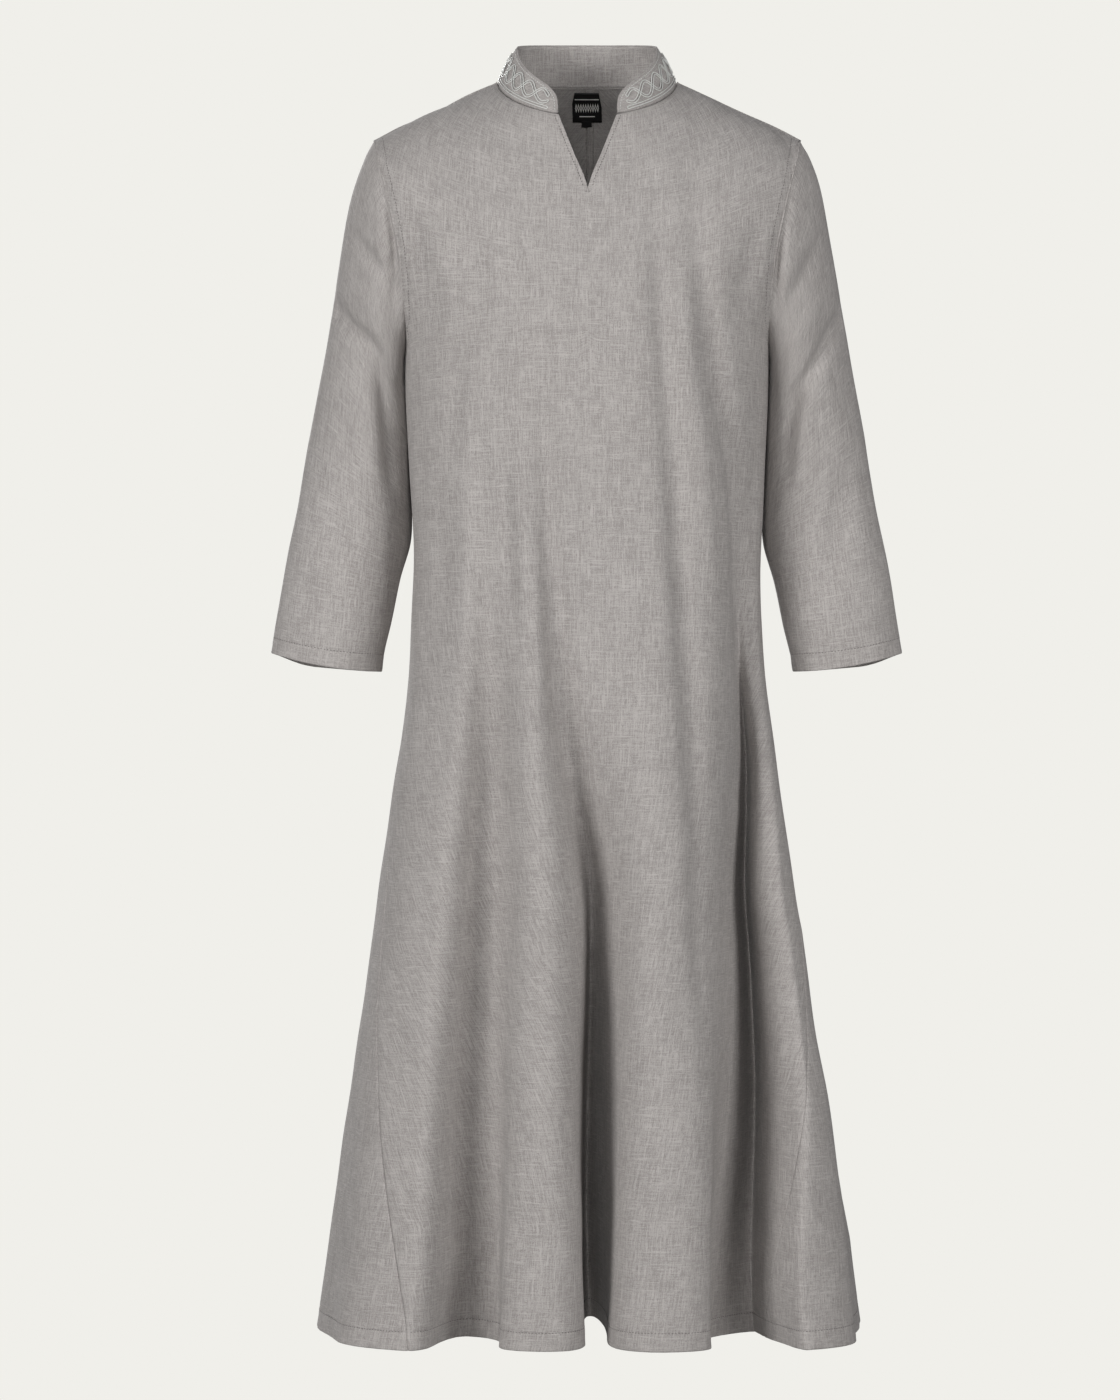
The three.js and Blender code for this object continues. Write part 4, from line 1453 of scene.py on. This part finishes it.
@dataclass(frozen=True)
class Plait:
    """Two double cords that cross along each front half of the collar, above a straight one."""

    thread_radius: float = 0.6
    apart: float = 1.4
    repeat: float = 44.0
    reach: float = 0.24
    middle: float = 0.55
    border: float = 0.16
    rise: float = 0.6
    first_angle: float = 27.0
    last_angle: float = 104.0
    samples: int = 150
    sides: int = 6

    def double_cord(self, collar: Collar, strand: int, hand: Hand) -> Line:
        """Returns one double cord as a closed loop.

        Args:
            collar: The collar that carries it.
            strand: 0 or 1 for a cord of the plait, 2 for the straight one.
            hand: The side of the tunic.

        Returns:
            The line of the thread, out along one side and back along the other.
        """
        angles = np.linspace(self.first_angle, self.last_angle, self.samples)
        turn = np.radians(angles) * NECK_HALF_WIDTH * 2 * np.pi / self.repeat + strand * np.pi
        height = self.middle + self.reach * np.sin(turn)
        lift = self.thread_radius + self.rise * (1 + np.cos(turn)) / 2
        if strand == 2:
            height = np.full(angles.shape, self.border)
            lift = np.full(angles.shape, self.thread_radius)
        degrees = angles if hand is Hand.RIGHT else 360 - angles
        route = collar.line(degrees, height, lift)
        along = unit(np.gradient(route.points, axis=0))
        side = unit(np.cross(route.normals, along)) * self.apart
        bend = np.linspace(0, np.pi, 9)[1:-1, None]
        far = route.points[-1] + side[-1] * np.cos(bend) + along[-1] * self.apart * np.sin(bend)
        near = route.points[0] - side[0] * np.cos(bend) - along[0] * self.apart * np.sin(bend)
        points = np.concatenate([route.points + side, far, (route.points - side)[::-1], near])
        normals = np.concatenate([route.normals, 0 * far + route.normals[-1], route.normals[::-1],
                                  0 * near + route.normals[0]])
        return Line(np.concatenate([points, points[:1]]), np.concatenate([normals, normals[:1]]))

    def build(self, collar: Collar, thread: bpy.types.Material) -> bpy.types.Object:
        """Embroiders both halves of the collar.

        Args:
            collar: The collar.
            thread: The thread's finish.

        Returns:
            The object that holds all the cords.
        """
        cord = Cord(self.thread_radius, self.sides)
        grids = [cord.grid(self.double_cord(collar, strand, hand))
                 for hand in Hand for strand in range(3)]
        piece = sheet_mesh("collar_plait", grids, closed=True)
        wear(piece, thread, "linen")
        return piece


# ---------------------------------------------------------------- inside the back
@dataclass(frozen=True)
class WovenLabel:
    """A flat woven label that hangs inside the back neck, over the middle seam."""

    name: str
    width: float
    top: float
    bottom: float
    depth: float
    thickness: float
    is_sheet: bool
    tilt: float = 0.03
    rows: int = 17
    columns: int = 19
    half_reach: float = 0.03
    place_samples: int = 401
    level_samples: int = 2001

    def build(self, tape: bpy.types.Material) -> bpy.types.Object:
        """Makes the label.

        Args:
            tape: Its finish.

        Returns:
            The label's object.
        """
        drops = np.linspace(self.top, self.bottom, self.rows)
        sides = np.linspace(-self.width / 2, self.width / 2, self.columns)[::-1]
        finest = np.linspace(0.0, 1.0, self.level_samples)
        levels = np.interp(drops, CENTRE_BACK.at("level", finest, "drop"), finest)
        near = BODY.back_middle + np.linspace(-self.half_reach, self.half_reach, self.place_samples)
        points = np.empty((len(drops), len(sides), 3))
        for r, level in enumerate(levels):
            across = BODY.point(near, np.full(near.shape, level), Cut.UNSLIT)
            places = np.interp(-sides - self.tilt * (drops[r] - self.top), -across[:, 0], near)
            row = np.full(places.shape, level)
            normals = BODY.normal(places, row, Cut.UNSLIT)
            points[r] = BODY.point(places, row, Cut.UNSLIT) - normals * self.depth
        flat = np.stack(np.broadcast_arrays(-sides[None, :], (self.top - drops)[:, None]), axis=-1) * MM
        piece = sheet_mesh(f"{self.name}_plate", [(points, flat)])
        thicken(piece, self.thickness)
        wear(piece, tape, "woven_label", self.name)
        return piece


LABELS = (
    WovenLabel("label", width=34.0, top=-2.0, bottom=29.0, depth=2.2, thickness=0.7, is_sheet=True),
    WovenLabel("size_tab", width=12.0, top=28.0, bottom=34.0, depth=3.1, thickness=0.5, is_sheet=False),
)


@dataclass(frozen=True)
class NeckFinish:
    """The tape over the back neck seam, and the pressed allowance of the middle back seam."""

    tape_depth: float = 1.9
    tape_angles: tuple[float, float] = (92.0, 268.0)
    tape_heights: tuple[float, float] = (0.075, -0.04)
    tape_columns: int = 90
    tape_rows: int = 5
    thickness: float = 0.6
    offsets: tuple[float, ...] = (0.4, 2.5, 5.0, 7.4, 8.0)
    depths: tuple[float, ...] = (1.5, 1.7, 1.7, 1.8, 1.3)

    def tape(self, collar: Collar, cloth: bpy.types.Material) -> bpy.types.Object:
        """Makes the tape.

        Args:
            collar: The collar, whose foot it covers.
            cloth: The linen.

        Returns:
            The tape's object.
        """
        degrees = np.linspace(*self.tape_angles, self.tape_columns)[None, :]
        height = np.linspace(*self.tape_heights, self.tape_rows)[:, None]
        line = collar.line(degrees, height, np.array(-self.tape_depth))
        flat = flat_places(line.points, 0 * height[:, 0])
        piece = sheet_mesh("neck_tape", [(line.points, flat)])
        thicken(piece, self.thickness)
        wear(piece, cloth, "linen")
        return piece

    def seam(self, cloth: bpy.types.Material) -> bpy.types.Object:
        """Makes the allowance.

        Args:
            cloth: The linen.

        Returns:
            The allowance's object.
        """
        outside = PANELS[1].grids[0].outside[2:-8]
        lines = [inset_line(outside, offset, True) for offset in self.offsets]
        sunk = [line.points - line.normals * depth for line, depth in zip(lines, self.depths)]
        points = np.stack(sunk[::-1], axis=1)
        flat = flat_places(points, 0 * points[:, 0, 0])
        piece = sheet_mesh("back_seam_allowance", [(points, flat)])
        thicken(piece, self.thickness)
        wear(piece, cloth, "linen")
        return piece


# ---------------------------------------------------------------- sewing
@dataclass(frozen=True)
class Sewing:
    """The topstitching, and the folded edges of the slit and the collar."""

    fold_radius: float = 0.6
    collar_fold_radius: float = 1.0
    collar_stitch_height: float = 0.15
    first_turn: float = 0.03
    armhole_samples: int = 60
    onto_cloth: float = 0.985
    stitches: Stitching = Stitching()

    def hem_lines(self) -> list[Line]:
        """Returns the hem's stitching, one line for each panel."""
        grids = [grid for panel in PANELS for grid in panel.grids]
        return [self.row(grid.outside, HEM_STITCH_ROW) for grid in grids]

    @staticmethod
    def row(points: Array, row: int) -> Line:
        """Returns one row of a sheet as a line."""
        return Line(points[row], grid_normals(points)[row])

    def armhole_line(self, skin: Skin, face: int, hand: Hand) -> Line:
        """Returns the stitching beside one half of an armhole.

        Args:
            skin: The finished panels.
            face: -1 in front and 1 behind.
            hand: The side of the tunic.

        Returns:
            The line from the shoulder seam to the underarm.
        """
        turn = np.linspace(self.first_turn, 1.0, self.armhole_samples)
        edge = BODY.armhole_point(turn, face) * (hand.value, 1, 1)
        on_cloth = skin.settle(edge * (self.onto_cloth, 1, 1))
        along = unit(np.gradient(edge, axis=0))
        inwards = unit(np.cross(on_cloth.normals, along)) * face * hand.value
        return skin.settle(edge + inwards * TOPSTITCH_INSET)

    def slit_lines(self, skin: Skin) -> list[Line]:
        """Finds the stitching beside the slit, and the short bar across its foot.

        Args:
            skin: The finished panels.

        Returns:
            Both lines and the bar.
        """
        lines = []
        for edge, side in zip(self.slit_edges(), (-1, 1)):
            along = unit(np.gradient(edge.points, axis=0))
            inwards = unit(np.cross(edge.normals, along)) * side
            lines.append(skin.settle((edge.points + inwards * SLIT_STITCH_INSET)[:-1]))
        bar = np.linspace(-SLIT_BAR / 2, SLIT_BAR / 2, 5)[:, None]
        foot = np.array([0, -CENTRE_FRONT["reach"][2], -CENTRE_FRONT["drop"][2] - SLIT_BAR_DROP])
        lines.append(skin.settle(foot + bar * (1, 0, 0)))
        return lines

    @staticmethod
    def slit_edges() -> list[Line]:
        """Returns the slit's two edges, from the neckline down."""
        rows = int(np.searchsorted(YOKE_LEVELS, 1.0)) + 1
        left, right = (grid.outside[:rows] for grid in PANELS[0].grids)
        return [inset_line(left, 0, True), inset_line(right, 0, False)]

    def folds(self, cloth: bpy.types.Material, collar: Collar) -> bpy.types.Object:
        """Makes the rounded folds along the slit and along the collar's free edges.

        Args:
            cloth: The linen.
            collar: The collar.

        Returns:
            The object that holds the folds.
        """
        cord = Cord(self.fold_radius)
        grids = [cord.grid(edge.moved(-edge.normals, LAYER / 2)) for edge in self.slit_edges()]
        grids.append(Cord(self.collar_fold_radius).grid(collar.edge(0.0, -collar.thickness / 2)))
        piece = sheet_mesh("folded_edges", grids, closed=True)
        wear(piece, cloth, "linen")
        return piece

    def build(self, thread: bpy.types.Material, pale_thread: bpy.types.Material, skin: Skin,
              sleeves: list[Sleeve], collar: Collar) -> None:
        """Sews the tunic.

        Args:
            thread: The thread's finish.
            pale_thread: The finish of the thread along the collar's edge.
            skin: The finished panels.
            sleeves: Both sleeves.
            collar: The collar.
        """
        self.stitches.build("hem_stitches", self.hem_lines(), thread)
        cuffs = [self.row(sleeve.outside, CUFF_STITCH_ROW) for sleeve in sleeves]
        self.stitches.build("cuff_stitches", cuffs, thread)
        armholes = [self.armhole_line(skin, face, hand) for face in (-1, 1) for hand in Hand]
        self.stitches.build("armhole_stitches", armholes, thread)
        self.stitches.build("slit_stitches", self.slit_lines(skin), thread)
        collar_edge = collar.edge(COLLAR_STITCH_INSET, self.collar_stitch_height)
        self.stitches.build("collar_stitches", [collar_edge], pale_thread)


# ---------------------------------------------------------------- finishes
class Graph:
    """Adds and joins the nodes of one material."""

    def __init__(self, name: str) -> None:
        """Starts a material with its shader.

        Args:
            name: The material's name.
        """
        self.material = bpy.data.materials.new(name)
        self.material.use_nodes = True
        self.tree = self.material.node_tree
        self.shader = self.tree.nodes["Principled BSDF"]

    def add(self, kind: str, inputs: dict, **settings: object) -> bpy.types.Node:
        """Adds a node.

        Args:
            kind: The node's type.
            inputs: A value or another node's socket for each named or numbered input.
            settings: The node's own settings.

        Returns:
            The node.
        """
        node = self.tree.nodes.new(kind)
        for name, value in settings.items():
            setattr(node, name, value)
        for socket, value in inputs.items():
            if isinstance(value, bpy.types.NodeSocket):
                self.tree.links.new(value, node.inputs[socket])
            else:
                node.inputs[socket].default_value = value
        return node

    def maths(self, operation: str, *values: object) -> bpy.types.NodeSocket:
        """Adds a sum and returns its result."""
        node = self.add("ShaderNodeMath", dict(enumerate(values)), operation=operation)
        return node.outputs[0]

    def stretched_noise(self, place: bpy.types.NodeSocket, scale: tuple[float, float], detail: float,
                        shift: float) -> bpy.types.NodeSocket:
        """Returns noise that is stretched along the warp or the weft.

        Args:
            place: The flat place, in metres.
            scale: How many spots a metre has along the weft and the warp.
            detail: The noise's detail.
            shift: Moves the pattern, so that two layers differ.

        Returns:
            The noise, about 0.5 on average.
        """
        spread = self.add("ShaderNodeMapping", {0: place, 1: (shift, shift, 0), 3: (*scale, 1)})
        noise = self.add("ShaderNodeTexNoise", {0: spread.outputs[0], "Scale": 1.0, "Detail": detail},
                         noise_dimensions="2D")
        return noise.outputs[0]

    def shader_values(self, values: dict[str, object]) -> None:
        """Sets constant values on the shader's own sockets."""
        for name, value in values.items():
            self.shader.inputs[name].default_value = value


@dataclass(frozen=True)
class Linen:
    """Plain-woven linen of one colour, whose threads are uneven and have slubs."""

    dark: tuple[float, float, float] = (0.300, 0.278, 0.266)
    light: tuple[float, float, float] = (0.470, 0.442, 0.424)
    threads: float = 1150.0
    thread_run: float = 62.0
    specks: float = 900.0
    slub_run: float = 30.0
    streaks: float = 330.0
    streak_run: float = 12.0
    roughness: float = 0.92
    sheen: float = 0.12
    sheen_roughness: float = 0.5
    specular: float = 0.2
    relief: float = 0.00035
    crinkle: float = 0.0011
    bump: float = 0.7
    slub_height: float = 0.6
    slub_share: float = 0.45
    slub_threshold: float = 0.62
    slub_sharpness: float = 9.0
    warp_weight: float = 0.40
    weft_weight: float = 0.28
    speck_weight: float = 0.32
    contrast: float = 4.4
    middle_tone: float = 0.47
    slub_weight: float = 0.5
    tall_streak_weight: float = 0.6
    wide_streak_weight: float = 0.35
    fleck_weight: float = -0.5
    cloud_weight: float = 0.5

    def make(self) -> bpy.types.Material:
        """Makes the linen and returns it."""
        graph = Graph("linen")
        flat = graph.add("ShaderNodeUVMap", {}, uv_map="flat").outputs[0]
        slub_width = self.threads * self.slub_share
        warp = graph.stretched_noise(flat, (self.threads, self.thread_run), 2.0, 3.1)
        weft = graph.stretched_noise(flat, (self.thread_run, self.threads), 2.0, 7.7)
        speck = graph.stretched_noise(flat, (self.specks, self.specks), 2.0, 11.3)
        tall_slub = graph.stretched_noise(flat, (slub_width, self.slub_run), 1.0, 1.9)
        wide_slub = graph.stretched_noise(flat, (self.slub_run, slub_width), 1.0, 5.3)
        dark_fleck = graph.stretched_noise(flat, (self.specks * 0.5, self.specks * 0.4), 1.0, 8.9)
        cloud = graph.stretched_noise(flat, (34.0, 22.0), 3.0, 0.4)
        crinkle = graph.stretched_noise(flat, (130.0, 85.0), 3.0, 6.2)
        tall_streak = graph.stretched_noise(flat, (self.streaks, self.streak_run), 2.0, 4.4)
        wide_streak = graph.stretched_noise(flat, (self.streak_run, self.streaks), 2.0, 9.6)
        weft_part = graph.maths("MULTIPLY", weft, self.weft_weight)
        threads = graph.maths("MULTIPLY_ADD", warp, self.warp_weight, weft_part)
        threads = graph.maths("MULTIPLY_ADD", speck, self.speck_weight, threads)
        slubs = graph.maths("MAXIMUM", self.slub(graph, tall_slub), self.slub(graph, wide_slub))
        tone = self.swing(graph, threads, self.contrast, self.middle_tone)
        tone = graph.maths("MULTIPLY_ADD", slubs, self.slub_weight, tone)
        tone = self.swing(graph, tall_streak, self.tall_streak_weight, tone)
        tone = self.swing(graph, wide_streak, self.wide_streak_weight, tone)
        tone = graph.maths("MULTIPLY_ADD", self.slub(graph, dark_fleck), self.fleck_weight, tone)
        tone = self.swing(graph, cloud, self.cloud_weight, tone)
        colour = graph.add("ShaderNodeMix", {0: tone, 6: (*self.dark, 1), 7: (*self.light, 1)},
                           data_type="RGBA", clamp_factor=True)
        graph.tree.links.new(colour.outputs[2], graph.shader.inputs["Base Color"])
        height = graph.maths("MULTIPLY_ADD", slubs, self.slub_height, threads)
        height = graph.maths("MULTIPLY_ADD", crinkle, self.crinkle / self.relief, height)
        bump = graph.add("ShaderNodeBump", {"Height": height, "Strength": self.bump,
                                            "Distance": self.relief})
        graph.tree.links.new(bump.outputs[0], graph.shader.inputs["Normal"])
        graph.shader_values({"Roughness": self.roughness, "Sheen Weight": self.sheen,
                             "Sheen Roughness": self.sheen_roughness,
                             "Specular IOR Level": self.specular})
        return graph.material

    @staticmethod
    def swing(graph: Graph, noise: bpy.types.NodeSocket, weight: float,
              tone: object) -> bpy.types.NodeSocket:
        """Adds a noise's swing about its average to a tone."""
        return graph.maths("MULTIPLY_ADD", graph.maths("SUBTRACT", noise, 0.5), weight, tone)

    def slub(self, graph: Graph, noise: bpy.types.NodeSocket) -> bpy.types.NodeSocket:
        """Keeps only the highest parts of a noise, as short thick stretches of thread.

        Args:
            graph: The material's nodes.
            noise: The noise, about 0.5 on average.

        Returns:
            0 between the stretches and up to 1 on them.
        """
        raised = graph.maths("SUBTRACT", noise, self.slub_threshold)
        raised = graph.maths("MAXIMUM", graph.maths("MULTIPLY", raised, self.slub_sharpness), 0.0)
        return graph.maths("MINIMUM", raised, 1.0)


@dataclass(frozen=True)
class Thread:
    """Plain sewing or embroidery thread of one colour."""

    name: str
    colour: tuple[float, float, float]
    roughness: float = 0.6
    sheen: float = 0.1

    def make(self) -> bpy.types.Material:
        """Makes the thread's finish and returns it."""
        graph = Graph(self.name)
        graph.shader_values({"Base Color": (*self.colour, 1), "Roughness": self.roughness,
                             "Sheen Weight": self.sheen, "Specular IOR Level": 0.3})
        return graph.material


@dataclass(frozen=True)
class LabelTape:
    """Black satin label tape with plain woven rules and, on the label, a row of open lozenges."""

    name: str
    has_marks: bool
    ground: tuple[float, float, float] = (0.011, 0.0105, 0.0105)
    mark: tuple[float, float, float] = (0.86, 0.85, 0.81)
    rule_half: float = 0.5
    upper_rule: float = -6.8
    lower_rule: float = -24.6
    long_reach: float = 14.0
    short_reach: float = 9.0
    lozenge_pitch: float = 2.8
    lozenge_half_width: float = 1.3
    lozenge_half_height: float = 5.0
    lozenge_middle: float = -15.6
    outline: float = 0.72
    outline_half: float = 0.27

    @staticmethod
    def away(graph: Graph, value: bpy.types.NodeSocket, middle: float) -> bpy.types.NodeSocket:
        """Returns how far a place is from a middle, which is given in millimetres."""
        return graph.maths("ABSOLUTE", graph.maths("SUBTRACT", value, middle * MM))

    def band(self, graph: Graph, value: bpy.types.NodeSocket, middle: float,
             half: float) -> bpy.types.NodeSocket:
        """Returns 1 where a value is within half of a middle, and 0 elsewhere."""
        return graph.maths("LESS_THAN", self.away(graph, value, middle), half * MM)

    def marks(self, graph: Graph) -> bpy.types.NodeSocket:
        """Draws the woven marks.

        Args:
            graph: The material's nodes.

        Returns:
            1 on the marks and 0 on the ground.
        """
        flat = graph.add("ShaderNodeUVMap", {}, uv_map="flat").outputs[0]
        split = graph.add("ShaderNodeSeparateXYZ", {0: flat})
        across, up = split.outputs[0], split.outputs[1]
        long_band = self.band(graph, across, 0, self.long_reach)
        short_band = self.band(graph, across, 0, self.short_reach)
        upper = self.band(graph, up, self.upper_rule, self.rule_half)
        upper = graph.maths("MULTIPLY", upper, long_band)
        lower = self.band(graph, up, self.lower_rule, self.rule_half)
        lower = graph.maths("MULTIPLY", lower, short_band)
        cell = graph.maths("PINGPONG", across, self.lozenge_pitch * MM)
        wide = graph.maths("DIVIDE", self.away(graph, cell, self.lozenge_pitch / 2),
                           self.lozenge_half_width * MM)
        tall = graph.maths("DIVIDE", self.away(graph, up, self.lozenge_middle),
                           self.lozenge_half_height * MM)
        spread = graph.maths("SUBTRACT", graph.maths("ADD", wide, tall), self.outline)
        drawn = graph.maths("LESS_THAN", graph.maths("ABSOLUTE", spread), self.outline_half)
        lozenges = graph.maths("MULTIPLY", drawn, long_band)
        return graph.maths("MAXIMUM", graph.maths("MAXIMUM", upper, lower), lozenges)

    def make(self) -> bpy.types.Material:
        """Makes the tape's finish and returns it."""
        graph = Graph(self.name)
        graph.shader_values({"Base Color": (*self.ground, 1), "Roughness": 0.5,
                             "Specular IOR Level": 0.35})
        if self.has_marks:
            colour = graph.add("ShaderNodeMix", {0: self.marks(graph), 6: (*self.ground, 1),
                                                 7: (*self.mark, 1)}, data_type="RGBA")
            graph.tree.links.new(colour.outputs[2], graph.shader.inputs["Base Color"])
        return graph.material


LABEL_TAPES = (LabelTape("label_tape", True), LabelTape("tab_tape", False))
SEWING_THREAD = Thread("sewing_thread", (0.16, 0.15, 0.144))
SILVER_THREAD = Thread("silver_thread", (0.66, 0.665, 0.64), roughness=0.45)


# ---------------------------------------------------------------- studio
@dataclass
class Studio:
    """A plain pale floor, soft light and a camera level with the tunic's middle."""

    backdrop: tuple[float, float, float] = (0.871, 0.863, 0.823)
    floor_drop: float = 1.6
    floor_radius: float = 9.0
    floor_colour: tuple[float, float, float] = (0.14, 0.139, 0.135)
    room_colour: tuple[float, float, float] = (0.92, 0.95, 1.0)
    room_strength: float = 0.11
    aim: tuple[float, float, float] = (0.0, 0.0, -0.7)
    camera_place: tuple[float, float, float] = (-0.0305, -4.8, -0.695)
    lens: float = 109.42
    sensor_width: float = 36.0

    def build(self) -> None:
        """Makes the floor, the light and the camera."""
        self.floor()
        self.world()
        self.area_light("left_light", (-3.3, -3.4, 0.1), 1.8, 128.0)
        self.area_light("right_light", (3.3, -3.4, 0.1), 1.8, 96.0)
        self.area_light("front_light", (-0.3, -4.4, 0.7), 1.6, 52.0)
        self.area_light("back", (-1.2, 4.2, 1.3), 1.6, 150.0)
        self.camera()

    def floor(self) -> None:
        """Makes the floor."""
        mesh = bpy.data.meshes.new("floor")
        built = bmesh.new()
        bmesh.ops.create_circle(built, cap_ends=True, segments=96, radius=self.floor_radius)
        bmesh.ops.translate(built, verts=built.verts, vec=(0, 0, -self.floor_drop))
        built.to_mesh(mesh)
        built.free()
        floor = put_in_scene("floor", mesh)
        graph = Graph("pale_floor")
        graph.shader_values({"Base Color": (*self.floor_colour, 1), "Roughness": 0.9,
                             "Specular IOR Level": 0.0})
        seen = graph.add("ShaderNodeEmission", {0: (*self.backdrop, 1)})
        path = graph.add("ShaderNodeLightPath", {})
        mix = graph.add("ShaderNodeMixShader", {0: path.outputs["Is Camera Ray"],
                                                1: graph.shader.outputs[0], 2: seen.outputs[0]})
        graph.tree.links.new(mix.outputs[0], graph.tree.nodes["Material Output"].inputs[0])
        mesh.materials.append(graph.material)

    def world(self) -> None:
        """Lights the room evenly, and shows the backdrop's own colour behind the tunic."""
        world = bpy.data.worlds.new("studio")
        bpy.context.scene.world = world
        world.use_nodes = True
        nodes, links = world.node_tree.nodes, world.node_tree.links
        nodes.clear()
        seen = nodes.new("ShaderNodeBackground")
        seen.inputs[0].default_value = (*self.backdrop, 1)
        room = nodes.new("ShaderNodeBackground")
        room.inputs[0].default_value = (*self.room_colour, 1)
        room.inputs[1].default_value = self.room_strength
        path = nodes.new("ShaderNodeLightPath")
        mix = nodes.new("ShaderNodeMixShader")
        output = nodes.new("ShaderNodeOutputWorld")
        links.new(path.outputs["Is Camera Ray"], mix.inputs[0])
        links.new(room.outputs[0], mix.inputs[1])
        links.new(seen.outputs[0], mix.inputs[2])
        links.new(mix.outputs[0], output.inputs[0])
        bpy.context.scene.view_settings.view_transform = "Standard"

    def area_light(self, name: str, place: tuple[float, float, float], size: float,
                   power: float) -> None:
        """Makes a soft square light that faces the tunic's middle.

        Args:
            name: The light's name.
            place: Where it hangs, in metres.
            size: Its side, in metres.
            power: Its power, in watts.
        """
        data = bpy.data.lights.new(name, "AREA")
        data.energy = power
        data.size = size
        light = put_in_scene(name, data)
        light.location = place
        heading = Vector(self.aim) - Vector(place)
        light.rotation_euler = heading.to_track_quat("-Z", "Y").to_euler()

    def camera(self) -> None:
        """Makes the camera."""
        data = bpy.data.cameras.new("camera")
        data.lens = self.lens
        data.sensor_width = self.sensor_width
        data.clip_end = 50
        camera = put_in_scene("camera", data)
        camera.location = self.camera_place
        camera.rotation_euler = (math.pi / 2, 0, 0)
        bpy.context.scene.camera = camera


def main() -> None:
    """Builds the tunic piece by piece."""
    logging.basicConfig(level=logging.INFO, format="%(name)s: %(message)s")
    Studio().build()
    cloth = Linen().make()
    skin = Skin(*(panel.build(cloth) for panel in PANELS))
    sleeves = [Sleeve(hand) for hand in Hand]
    for sleeve in sleeves:
        sleeve.build(cloth)
    collar = Collar()
    collar.build(cloth)
    for label, tape in zip(LABELS, LABEL_TAPES):
        label.build(tape.make())
    neck = NeckFinish()
    neck.tape(collar, cloth)
    neck.seam(cloth)
    sewing = Sewing()
    sewing.folds(cloth, collar)
    silver = SILVER_THREAD.make()
    sewing.build(SEWING_THREAD.make(), silver, skin, sleeves, collar)
    Plait().build(collar, silver)


if __name__ == "__main__":
    main()
